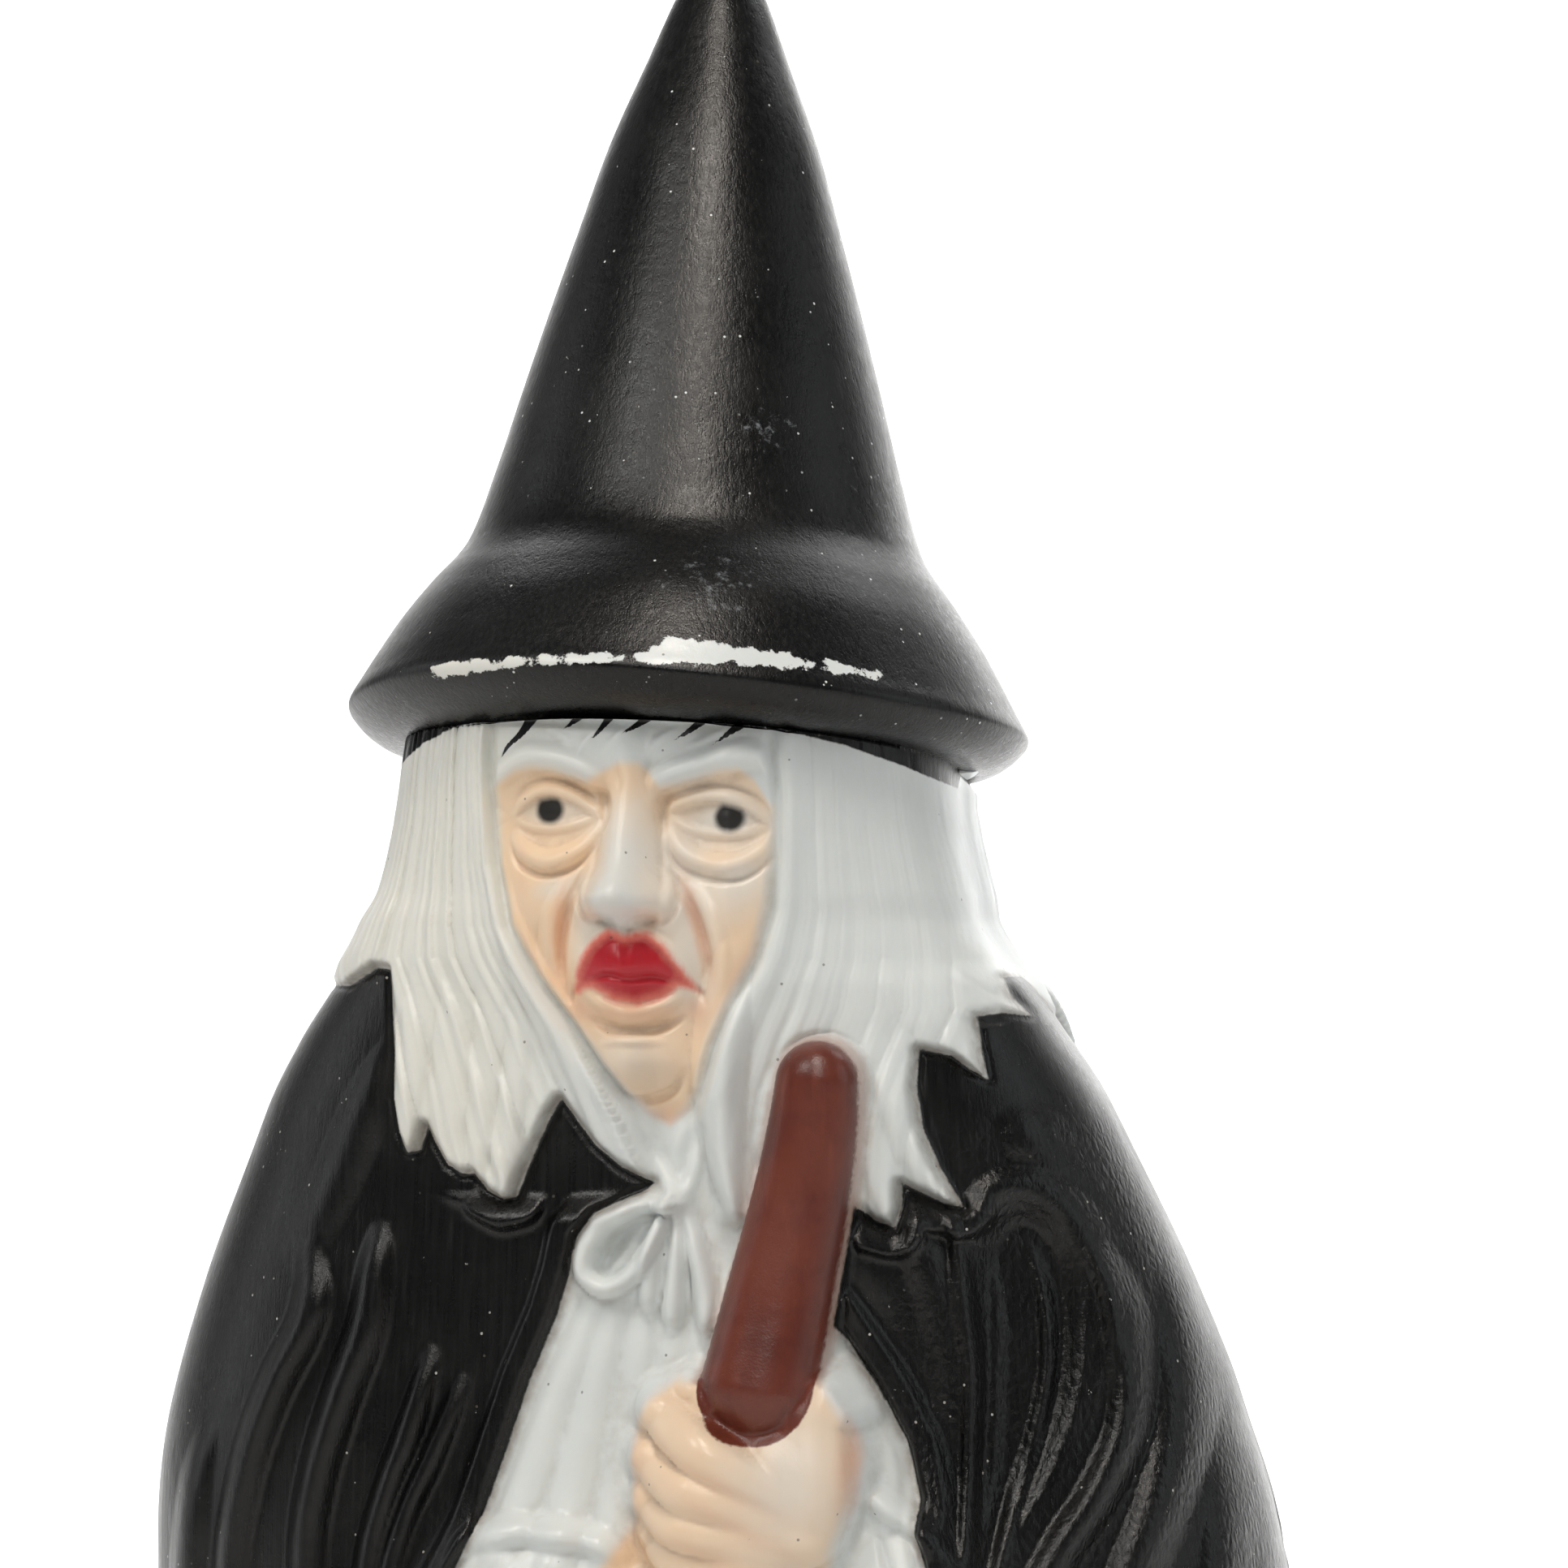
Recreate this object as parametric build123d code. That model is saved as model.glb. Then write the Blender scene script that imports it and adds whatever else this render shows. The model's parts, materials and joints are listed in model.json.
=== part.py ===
from build123d import *
import math
import os

os.makedirs("parts", exist_ok=True)

# A light-up witch lawn figure: one hollow blow-moulded shell, lit by a bulb on a
# push-in lamp unit in its back. Millimetres, +Z up, the witch faces -Y, and the
# origin is in the middle of the flat base.

# Shell
WALL = 2.2
HEAD_Z = 635.0              # middle of the hat's rim plane
HEAD_X = -4.0
HEAD_Y = -55.0
HAT_TILT = 5.0              # the hat leans back, in degrees
HAT_LEAN = 1.6              # and to +X
HAT_TIP_R = 10.0

# Cane, raised from the front of the shell from the ground up to the hair
CANE_R = 16.5
CANE_FOOT = (-44.0, -133.0, 0.0)
CANE_TOP = (49.0, -133.0, 518.0)

# Face, fist and cuffs: rounded masses that stand out of the trunk
FACE_AT = (-7.0, -104.0, 577.0)
FACE_R = 42.0
FACE_HALF = 55.0
NOSE_AT = (-3.0, -141.0, 581.0)
NOSE_R = 11.0
CHIN_AT = (-1.0, -124.0, 533.0)
CHIN_R = 15.0
FIST_AT = (27.0, -124.0, 401.0)
FIST_R = 33.0
LEFT_CUFF_AT = (-40.0, -104.0, 363.0)
LEFT_CUFF_R = 34.0
RIGHT_CUFF_AT = (77.0, -103.0, 367.0)
RIGHT_CUFF_R = 30.0
SHOES_X = (-31.0, 36.0)
SHOE_HEEL_Y = -90.0
SHOE_TOE_Y = -125.0
SHOE_R = 21.0

# Lamp unit, pushed into a round hole in the back
LAMP_Z = 150.0
HOLE_R = 33.0
PAD_R = 46.0
PAD_Y = 122.0               # outer face of the flat land around the hole
FIT = 0.05                  # radial clearance of sliding parts
SEAT_GAP = 0.05             # gap under a flange that rests on the shell
PLATE_R = 41.0
PLATE_T = 2.5
SPIGOT_L = 11.0
SPIGOT_T = 2.0
CORD_HOLE_R = 3.6           # bore of the cord gland, for a round lamp flex
GLAND_R = 6.0
GLAND_LIP = 1.6

# Lampholder, for a medium screw bulb
HOLDER_R = 20.0
HOLDER_BACK_L = 14.0
HOLDER_BODY_L = 32.0
HOLDER_WALL = 2.4
SCREW_SHELL_R = 13.45
SCREW_SHELL_T = 0.4
SLEEVE_T = 0.6
FLOOR_T = 3.0               # insulating floor that carries the contacts
SCREW_SPAN = 28.0           # between the two screws that hold the lampholder
TERMINAL_RISE = 9.0         # terminals above and below the lampholder's axis
LUG_R = 4.2

# Bulb
CAP_R = 13.0
CAP_L = 24.0
BULB_R = 30.0
BULB_L = 106.0
GLASS_T = 0.8

# Filler plug, low on the back, where sand goes in as ballast
PLUG_Z = 42.0
PLUG_HOLE_R = 12.0
PLUG_PAD_R = 19.0
PLUG_PAD_Y = 114.5
PLUG_FLANGE_R = 15.5
PLUG_L = 10.0

# The moulding is stored as panels that meet face to face, cut by these planes
BASE_TOP = 3.0
PLUG_PANEL_TOP = 88.0
LAMP_PANEL_TOP = 230.0
SKIRT_TOP = 345.0
SHOULDER_TOP = 606.0
BRIM_TOP = 700.0
PANEL_X = 68.0              # the centre panels reach this far either side
PANEL_Y = -10.0             # between the front and the back panels
FAR = 400.0                 # beyond the shell on every side
SKY = 1000.0                # above the hat

# Stations of the shell's trunk, from the base up to the hairline:
# height, half width, middle x, side y, front y, back y
TRUNK = [
    (0.0, 160.0, 0.0, 0.0, -108.0, 104.0),
    (14.0, 168.0, 0.0, 0.0, -114.0, 110.0),
    (90.0, 176.0, 0.0, 0.0, -119.0, 114.0),
    (180.0, 182.5, 0.0, 0.0, -123.0, 120.0),
    (290.0, 184.0, -2.0, 0.0, -125.0, 124.0),
    (362.0, 180.0, -4.0, -1.0, -125.0, 124.0),
    (420.0, 170.5, -7.0, -8.0, -124.0, 121.0),
    (461.0, 156.0, -8.0, -20.0, -122.0, 114.0),
    (500.0, 138.5, -8.0, -32.0, -121.0, 104.0),
    (535.0, 119.0, -8.0, -44.0, -123.0, 88.0),
    (565.0, 100.0, -8.0, -54.0, -128.0, 66.0),
    (595.0, 89.0, -6.0, -57.0, -132.0, 48.0),
    (634.0, 86.0, -4.0, -56.0, -134.0, 40.0),
]

# Half outline of the hat, along its own axis from the rim plane
HAT = [
    (84.0, -13.5),
    (99.0, -7.0),
    (104.5, -0.5),
    (103.0, 4.5),
    (98.0, 14.0),
    (90.5, 25.5),
    (82.0, 36.0),
    (74.5, 44.5),
    (71.0, 50.0),
    (56.5, 98.0),
    (33.5, 178.0),
    (HAT_TIP_R, 232.5),
]


def at(x, y, z):
    return Pos(x, y, z)


def along_y(radius, y_low, y_high, x=0.0, z=0.0):
    """A round bar parallel to Y."""
    bar = Cylinder(radius, y_high - y_low, rotation=(90, 0, 0))
    return at(x, (y_low + y_high) / 2, z) * bar


def ring_y(outer, inner, y_low, y_high, x=0.0, z=0.0):
    """A tube parallel to Y."""
    return along_y(outer, y_low, y_high, x, z) - along_y(inner, y_low - 1, y_high + 1, x, z)


def turned_y(points, x=0.0, y=0.0, z=0.0):
    """A profile of (radius, depth) points turned about a line along -Y."""
    outline = make_face(Polyline([(r, d) for r, d in points], close=True))
    body = revolve(outline, Axis.Y)
    return at(x, y, z) * (Rotation(180, 0, 0) * body)


def ball(radius):
    """A sphere whose seam faces +Y, so that it is buried in whatever the ball stands out of."""
    return Rotation(0, 0, 90) * Sphere(radius)


def between(start, end, radius):
    """A round bar from one point to another."""
    first = Vector(*start)
    run = Vector(*end) - first
    return extrude(Plane(origin=first, z_dir=run.normalized()) * Circle(radius), run.length)


def finger(start, end, radius):
    """A round bar with a domed end, and with its seam on the +Y side or underneath."""
    first = Vector(*start)
    run = Vector(*end) - first
    upright = abs(run.Z) > abs(run.Y)
    seam = Vector(0, 1, 0) if upright else Vector(0, 0, -1)
    plane = Plane(origin=first, x_dir=seam, z_dir=run.normalized())
    return extrude(plane * Circle(radius), run.length) + at(*end) * ball(radius)


# The shell

def trunk_section(station, inset):
    z, half, x_mid, y_side, y_front, y_back = station
    square = 2.25
    points = []
    count = 24
    for i in range(count):
        turn = 2 * math.pi * i / count
        c = math.cos(turn)
        s = math.sin(turn)
        across = math.copysign(abs(c) ** (2 / square), c) * (half - inset)
        depth = (y_back - y_side) if s > 0 else (y_side - y_front)
        forward = math.copysign(abs(s) ** (2 / square), s) * (depth - inset)
        points.append((x_mid + across, y_side + forward))
    outline = make_face(Spline(points, periodic=True))
    return at(0, 0, z) * outline


def trunk(inset):
    stations = list(TRUNK)
    if inset > 0:
        low = list(stations[0])
        low[0] = inset
        high = list(stations[-1])
        high[0] += inset
        stations = [tuple(low)] + stations[1:-1] + [tuple(high)]
    return loft([trunk_section(s, inset) for s in stations])


def hat(inset):
    points = [(r - inset, s) for r, s in HAT]
    # the cavity stops a wall short of the rim's underside and the tip
    floor = HAT[0][1] + (inset * 0.5)
    points[0] = (points[0][0], floor)
    cone_top = points[-1]
    axis_top = cone_top[1]
    outline = Polyline([(0, floor)] + points + [(0, axis_top)], close=True)
    body = revolve(Plane.XZ * make_face(outline), Axis.Z)
    body += at(0, 0, axis_top) * Sphere(cone_top[0])
    return at(HEAD_X, HEAD_Y, HEAD_Z) * (Rotation(-HAT_TILT, HAT_LEAN, 0) * body)


def lens(radius, half_height):
    """A vertical spindle whose side is one arc."""
    arc = ThreePointArc((0, -half_height), (radius, 0), (0, half_height))
    outline = make_face([arc.edge(), Line((0, half_height), (0, -half_height)).edge()])
    return revolve(Plane.XZ * outline, Axis.Z)


def face_mass(inset):
    face = at(*FACE_AT) * lens(FACE_R - inset, FACE_HALF - inset)
    nose = at(*NOSE_AT) * ball(NOSE_R - inset)
    chin = at(*CHIN_AT) * ball(CHIN_R - inset)
    return face + nose + chin


def arms_mass(inset):
    fist = at(*FIST_AT) * ball(FIST_R - inset)
    left_cuff = at(*LEFT_CUFF_AT) * ball(LEFT_CUFF_R - inset)
    right_cuff = at(*RIGHT_CUFF_AT) * ball(RIGHT_CUFF_R - inset)
    return fist + left_cuff + right_cuff


def shoes(inset):
    pair = None
    for x in SHOES_X:
        shoe = finger((x, SHOE_HEEL_Y, 0), (x, SHOE_TOE_Y, 0), SHOE_R - inset)
        pair = shoe if pair is None else pair + shoe
    return pair


def shell_mass(inset):
    mass = trunk(inset) + hat(inset) + face_mass(inset)
    mass += finger(CANE_FOOT, CANE_TOP, CANE_R - inset)
    mass += arms_mass(inset)
    mass += shoes(inset)
    mass += along_y(PAD_R - inset, 70, PAD_Y - inset, z=LAMP_Z)
    mass += along_y(PLUG_PAD_R - inset, 70, PLUG_PAD_Y - inset, z=PLUG_Z)
    return mass


def figure_shell():
    below = at(0, 0, -50) * Box(600, 600, 100)
    cavity = shell_mass(WALL) - at(0, 0, WALL - 50) * Box(600, 600, 100)
    shell = (shell_mass(0) - below) - cavity
    shell -= along_y(HOLE_R, 90, 140, z=LAMP_Z)
    shell -= along_y(PLUG_HOLE_R, 90, 140, z=PLUG_Z)
    return shell


def panel(x, y, z):
    """The part of the shell between two planes each way."""
    size = (x[1] - x[0], y[1] - y[0], z[1] - z[0])
    middle = ((x[0] + x[1]) / 2, (y[0] + y[1]) / 2, (z[0] + z[1]) / 2)
    return SHELL & at(*middle) * Box(*size)


LEFT = (-FAR, -PANEL_X)
CENTRE = (-PANEL_X, PANEL_X)
RIGHT = (PANEL_X, FAR)
WHOLE = (-FAR, FAR)
FRONT = (-FAR, PANEL_Y)
BACK = (PANEL_Y, FAR)
SKIRT = (BASE_TOP, SKIRT_TOP)
SHOULDERS = (SKIRT_TOP, SHOULDER_TOP)

PANELS = {
    "shell_base": (WHOLE, WHOLE, (-1.0, BASE_TOP)),
    "shell_front_left": (LEFT, FRONT, SKIRT),
    "shell_front_centre": (CENTRE, FRONT, SKIRT),
    "shell_front_right": (RIGHT, FRONT, SKIRT),
    "shell_back_left": (LEFT, BACK, SKIRT),
    "shell_back_right": (RIGHT, BACK, SKIRT),
    "shell_plug_panel": (CENTRE, BACK, (BASE_TOP, PLUG_PANEL_TOP)),
    "shell_lamp_panel": (CENTRE, BACK, (PLUG_PANEL_TOP, LAMP_PANEL_TOP)),
    "shell_back_centre": (CENTRE, BACK, (LAMP_PANEL_TOP, SKIRT_TOP)),
    "shell_shoulders_front": (WHOLE, FRONT, SHOULDERS),
    "shell_shoulders_back": (WHOLE, BACK, SHOULDERS),
    "shell_brim": (WHOLE, WHOLE, (SHOULDER_TOP, BRIM_TOP)),
    "shell_crown": (WHOLE, WHOLE, (BRIM_TOP, SKY)),
}


# The lamp unit

PLATE_Y = PAD_Y + SEAT_GAP              # inner face of the plate's flange
MOUNT_Y = PLATE_Y                       # the lampholder is screwed to this face
FLOOR_Y = MOUNT_Y - HOLDER_BACK_L       # back face of the insulating floor
SHELF_Y = FLOOR_Y - FLOOR_T             # front face of the insulating floor


def lamp_plate():
    plate = along_y(PLATE_R, PLATE_Y, PLATE_Y + PLATE_T, z=LAMP_Z)
    plate = fillet(plate.edges().group_by(Axis.Y)[-1], 1.0)
    outer = HOLE_R - FIT
    plate += ring_y(outer, outer - SPIGOT_T, PLATE_Y - SPIGOT_L, PLATE_Y, z=LAMP_Z)
    for i in range(6):
        slot = at(0, PLATE_Y - SPIGOT_L / 2 - 2, 0) * Box(80, SPIGOT_L - 2, 2.4)
        plate -= at(0, 0, LAMP_Z) * (Rotation(0, 30 + 60 * i, 0) * slot)
    plate -= along_y(GLAND_R, PLATE_Y - 1, PLATE_Y + 10, z=LAMP_Z)
    for x in (-SCREW_SPAN / 2, SCREW_SPAN / 2):
        plate -= along_y(1.6, PLATE_Y - 1, PLATE_Y + 10, x=x, z=LAMP_Z)
    for i in range(2):
        rib = at(0, PLATE_Y + PLATE_T + 1.4, 0) * Box(3, 3, 22)
        plate += at((2 * i - 1) * 24, 0, LAMP_Z) * rib
    return plate


def cord_gland():
    gland = along_y(GLAND_R, PLATE_Y, PLATE_Y + PLATE_T, z=LAMP_Z)
    inner_lip = along_y(GLAND_R + 1.5, PLATE_Y - GLAND_LIP, PLATE_Y, z=LAMP_Z)
    outer_lip = along_y(GLAND_R + 1.5, PLATE_Y + PLATE_T, PLATE_Y + PLATE_T + GLAND_LIP, z=LAMP_Z)
    gland += inner_lip + outer_lip
    return gland - along_y(CORD_HOLE_R, PLATE_Y - 10, PLATE_Y + 10, z=LAMP_Z)


def holder_back():
    back = ring_y(HOLDER_R, HOLDER_R - HOLDER_WALL, FLOOR_Y, MOUNT_Y, z=LAMP_Z)
    for x in (-SCREW_SPAN / 2, SCREW_SPAN / 2):
        back += along_y(LUG_R, FLOOR_Y, MOUNT_Y, x=x, z=LAMP_Z)
    for x in (-SCREW_SPAN / 2, SCREW_SPAN / 2):
        back -= along_y(1.3, FLOOR_Y - 1, MOUNT_Y + 1, x=x, z=LAMP_Z)
    return back


def holder_floor():
    floor = along_y(HOLDER_R - HOLDER_WALL, SHELF_Y, FLOOR_Y, z=LAMP_Z)
    floor -= along_y(1.5, SHELF_Y - 1, FLOOR_Y + 1, z=LAMP_Z)
    for rise in (-TERMINAL_RISE, TERMINAL_RISE):
        floor -= along_y(1.5, SHELF_Y - 1, FLOOR_Y + 1, z=LAMP_Z + rise)
    return floor


def holder_body():
    front = SHELF_Y - HOLDER_BODY_L
    body = ring_y(HOLDER_R, HOLDER_R - HOLDER_WALL, front, FLOOR_Y, z=LAMP_Z)
    lip_r = SCREW_SHELL_R + SLEEVE_T + 0.1
    body += ring_y(HOLDER_R, lip_r, front, front + 3, z=LAMP_Z)
    return fillet(body.edges().group_by(Axis.Y)[0].sort_by(SortBy.LENGTH)[-1:], 1.2)


def screw_shell():
    front = SHELF_Y - HOLDER_BODY_L + 2
    shell = ring_y(SCREW_SHELL_R, SCREW_SHELL_R - SCREW_SHELL_T, front, SHELF_Y, z=LAMP_Z)
    base = ring_y(SCREW_SHELL_R, 6.0, SHELF_Y - SCREW_SHELL_T, SHELF_Y, z=LAMP_Z)
    return shell + base


def insulating_sleeve():
    front = SHELF_Y - HOLDER_BODY_L + 1
    inner = SCREW_SHELL_R
    return ring_y(inner + SLEEVE_T, inner, front, SHELF_Y, z=LAMP_Z)


def centre_contact():
    """A springy brass tongue: a foot on the floor, a slope and a raised pad."""
    tongue = [(-4, 0), (4, 0), (4, 0.6), (-2.6, 0.6), (1, 3.6), (4, 3.6), (4, 4.2), (0.8, 4.2), (-4, 0.2)]
    outline = make_face(Polyline(tongue, close=True))
    strip = extrude(outline, 5)
    return at(0, SHELF_Y, LAMP_Z - 2.5) * mirror(strip, Plane.XZ)


def contact_rivet():
    rivet = along_y(1.45, SHELF_Y, FLOOR_Y, z=LAMP_Z)
    rivet += along_y(2.4, FLOOR_Y, FLOOR_Y + 0.9, z=LAMP_Z)
    return rivet


def terminal_straps():
    """One strap leads to the screw shell and the other to the centre contact."""
    straps = None
    for rise in (-TERMINAL_RISE, TERMINAL_RISE):
        strap = at(0, FLOOR_Y + 0.4, LAMP_Z + rise) * Box(9, 0.8, 7)
        strap -= along_y(1.5, FLOOR_Y - 1, FLOOR_Y + 3, z=LAMP_Z + rise)
        straps = strap if straps is None else straps + strap
    return straps


def machine_screw(x, y, z, head_r, head_l, shank_r, shank_l):
    """A slotted pan-head screw whose shank points along -Y from y."""
    screw = along_y(head_r, y, y + head_l, x=x, z=z)
    screw = fillet(screw.edges().group_by(Axis.Y)[-1], head_l * 0.4)
    screw += along_y(shank_r, y - shank_l, y, x=x, z=z)
    return screw - at(x, y + head_l, z) * Box(head_r * 3, head_l, 0.8)


def terminal_screws():
    pair = None
    for rise in (-TERMINAL_RISE, TERMINAL_RISE):
        screw = machine_screw(0, FLOOR_Y + 0.8, LAMP_Z + rise, 2.6, 1.8, 1.45, 3.6)
        pair = screw if pair is None else pair + screw
    return pair


def holder_screws():
    pair = None
    for x in (-SCREW_SPAN / 2, SCREW_SPAN / 2):
        screw = machine_screw(x, PLATE_Y + PLATE_T, LAMP_Z, 3.0, 1.8, 1.25, 14.0)
        pair = screw if pair is None else pair + screw
    return pair


# The bulb. Depths run along -Y from the end contact's face.

BULB_Y = SHELF_Y - 4.2 - 0.1


def bulb_profile(inset):
    """The envelope's half outline: neck, shoulder and round crown."""
    centre = BULB_L - BULB_R
    points = [(12.2 - inset, CAP_L - 4.0), (12.2 - inset, CAP_L + 3.0)]
    neck_r = 14.0 - inset
    points.append((neck_r, CAP_L + 10.0))
    points.append((17.5 - inset, CAP_L + 20.0))
    points.append((23.0 - inset, CAP_L + 31.0))
    for degrees in range(-35, 90, 10):
        a = math.radians(degrees)
        r = BULB_R - inset
        points.append((r * math.cos(a), centre + r * math.sin(a)))
    points.append((0.0, BULB_L - inset))
    return points


def bulb_solid(inset):
    points = bulb_profile(inset)
    top = Vector(0, BULB_L - inset)
    neck = Polyline(points[0:3])
    curve = Spline([Vector(*p) for p in points[2:-1]] + [top])
    foot = Polyline([points[0], (0, points[0][1]), (0, BULB_L - inset)])
    outline = make_face([*neck.edges(), *curve.edges(), *foot.edges()])
    body = revolve(outline, Axis.Y)
    return at(0, BULB_Y, LAMP_Z) * (Rotation(180, 0, 0) * body)


def bulb_envelope():
    return bulb_solid(0) - bulb_solid(GLASS_T)


def bulb_cap():
    """A plain tube, standing in for the rolled thread."""
    outline = [(CAP_R, 4.5), (CAP_R, CAP_L), (CAP_R - 0.4, CAP_L), (CAP_R - 0.4, 4.9), (7.5, 4.9), (7.5, 4.5)]
    return turned_y(outline, y=BULB_Y, z=LAMP_Z)


def cap_insulator():
    outline = [(3.2, 0.8), (5.2, 0.8), (9.2, 3.4), (9.2, 4.5), (7.5, 4.5), (7.5, 6.5), (3.2, 6.5)]
    return turned_y(outline, y=BULB_Y, z=LAMP_Z)


def end_contact():
    outline = [(0, 0), (2.6, 0), (4.4, 0.8), (3.2, 0.8), (3.2, 3.0), (0, 3.0)]
    return turned_y(outline, y=BULB_Y, z=LAMP_Z)


STEM_L = CAP_L + 26.0


def bulb_stem():
    """The glass flare, pressed flat stem and support rod."""
    low = CAP_L - 4.0
    flare = [(0, low), (11.3, low), (11.3, low + 0.8), (6.0, low + 8.0), (3.4, low + 16.0),
             (3.4, low + 21.0), (1.4, low + 23.0), (1.4, STEM_L), (2.2, STEM_L + 1.4), (0, STEM_L + 2.4)]
    return turned_y(flare, y=BULB_Y, z=LAMP_Z)


def depth(d):
    return BULB_Y - d


def lead_wires():
    """Two nickel leads that rise from the stem and spread to the filament's ends."""
    pair = None
    low = CAP_L + 16.0
    bend = CAP_L + 24.0
    for side in (-1, 1):
        start = (side * 3.5, depth(low), LAMP_Z)
        knee = (side * 4.8, depth(bend), LAMP_Z)
        end = (side * 14.0, depth(FILAMENT_D), LAMP_Z)
        wire = between(start, knee, 0.35) + between(knee, end, 0.35) + at(*knee) * Sphere(0.35)
        pair = wire if pair is None else pair + wire
    return pair


FILAMENT_D = CAP_L + 46.0


def support_wires():
    pair = None
    for side in (-1, 1):
        start = (side * 1.2, depth(STEM_L + 0.5), LAMP_Z)
        end = (side * 5.0, depth(FILAMENT_D + 0.2), LAMP_Z + 3.0)
        wire = between(start, end, 0.25)
        pair = wire if pair is None else pair + wire
    return pair


def filament():
    """A shallow arc of coiled wire, shown as a rod of the coil's diameter."""
    points = [(-14, 0), (-5, 3.3), (5, 3.3), (14, 0)]
    pieces = None
    for (x0, z0), (x1, z1) in zip(points, points[1:]):
        start = (x0, depth(FILAMENT_D + 0.9), LAMP_Z + z0)
        end = (x1, depth(FILAMENT_D + 0.9), LAMP_Z + z1)
        rod = between(start, end, 0.5) + at(*end) * Sphere(0.5)
        pieces = rod if pieces is None else pieces + rod
    return pieces


# The filler plug

def filler_plug():
    seat = PLUG_PAD_Y + SEAT_GAP
    plug = along_y(PLUG_FLANGE_R, seat, seat + 2.2, z=PLUG_Z)
    plug = fillet(plug.edges().group_by(Axis.Y)[-1], 0.9)
    outer = PLUG_HOLE_R - FIT
    plug += ring_y(outer, outer - 1.6, seat - PLUG_L, seat, z=PLUG_Z)
    grip = at(0, seat + 2.2 + 2.0, PLUG_Z) * Box(14, 4.4, 2.4)
    return plug + grip


SHELL = figure_shell()

NODES = {
    "lamp_plate": lamp_plate,
    "cord_gland": cord_gland,
    "lampholder_back": holder_back,
    "lampholder_floor": holder_floor,
    "lampholder_body": holder_body,
    "screw_shell": screw_shell,
    "insulating_sleeve": insulating_sleeve,
    "centre_contact": centre_contact,
    "contact_rivet": contact_rivet,
    "terminal_straps": terminal_straps,
    "terminal_screws": terminal_screws,
    "lampholder_screws": holder_screws,
    "bulb_envelope": bulb_envelope,
    "bulb_cap": bulb_cap,
    "bulb_cap_insulator": cap_insulator,
    "bulb_end_contact": end_contact,
    "bulb_stem": bulb_stem,
    "bulb_lead_wires": lead_wires,
    "bulb_support_wires": support_wires,
    "bulb_filament": filament,
    "filler_plug": filler_plug,
}



def save(name, solid):
    box = solid.bounding_box()
    print(f"{name:22s} solids {len(solid.solids())} volume {solid.volume:10.1f} "
          f"low {box.min.X:7.1f} {box.min.Y:7.1f} {box.min.Z:7.1f} "
          f"high {box.max.X:7.1f} {box.max.Y:7.1f} {box.max.Z:7.1f}")
    export_step(solid, f"parts/{name}.step")


for name, spans in PANELS.items():
    save(name, panel(*spans))

for name, make in NODES.items():
    save(name, make())
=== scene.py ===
import json
import math

import bmesh
import bpy
import numpy as np
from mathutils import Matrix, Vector


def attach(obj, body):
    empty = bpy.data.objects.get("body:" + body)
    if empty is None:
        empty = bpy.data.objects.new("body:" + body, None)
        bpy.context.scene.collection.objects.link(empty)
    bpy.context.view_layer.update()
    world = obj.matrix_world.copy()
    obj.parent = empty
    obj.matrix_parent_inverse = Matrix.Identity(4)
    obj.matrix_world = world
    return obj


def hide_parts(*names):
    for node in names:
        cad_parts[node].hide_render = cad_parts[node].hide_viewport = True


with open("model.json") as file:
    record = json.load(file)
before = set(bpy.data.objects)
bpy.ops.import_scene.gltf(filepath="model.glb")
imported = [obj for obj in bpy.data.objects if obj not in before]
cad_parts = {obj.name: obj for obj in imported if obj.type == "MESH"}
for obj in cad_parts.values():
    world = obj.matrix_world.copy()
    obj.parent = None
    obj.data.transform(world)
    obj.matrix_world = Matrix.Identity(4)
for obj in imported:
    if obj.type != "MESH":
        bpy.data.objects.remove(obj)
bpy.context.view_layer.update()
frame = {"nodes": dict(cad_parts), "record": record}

# Lengths are in millimetres until a mesh is made. The witch faces -Y.
MM = 0.001

# ---------------------------------------------------------------- curves and distances


def smooth_path(points, steps=8, closed=False):
    """A Catmull-Rom curve through rows of numbers, as dense rows."""
    p = np.asarray(points, float)
    if closed:
        p = np.vstack([p[-1], p, p[0], p[1]])
    else:
        p = np.vstack([2 * p[0] - p[1], p, 2 * p[-1] - p[-2]])
    t = np.linspace(0, 1, steps, endpoint=False)[:, None]
    rows = []
    for a, b, c, d in zip(p, p[1:], p[2:], p[3:]):
        rows.append(0.5 * (2 * b + (c - a) * t + (2 * a - 5 * b + 4 * c - d) * t**2
                           + (3 * b - a - 3 * c + d) * t**3))
    rows = np.vstack(rows)
    return rows if closed else np.vstack([rows, p[-2]])


def monotone(x, y, at):
    """Monotone cubic interpolation, which doesn't overshoot its points."""
    x, y = np.asarray(x, float), np.asarray(y, float)
    h = np.diff(x)
    s = np.diff(y) / h
    m = np.zeros_like(y)
    inner = s[:-1] * s[1:] > 0
    w1, w2 = 2 * h[1:] + h[:-1], h[1:] + 2 * h[:-1]
    with np.errstate(divide="ignore", invalid="ignore"):
        m[1:-1] = np.where(inner, (w1 + w2) / (w1 / s[:-1] + w2 / s[1:]), 0)
    m[0], m[-1] = s[0], s[-1]
    i = np.clip(np.searchsorted(x, at) - 1, 0, len(h) - 1)
    t = (at - x[i]) / h[i]
    return (y[i] * (1 + 2 * t) * (1 - t) ** 2 + m[i] * h[i] * t * (1 - t) ** 2
            + y[i + 1] * t**2 * (3 - 2 * t) + m[i + 1] * h[i] * t**2 * (t - 1))


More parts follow.
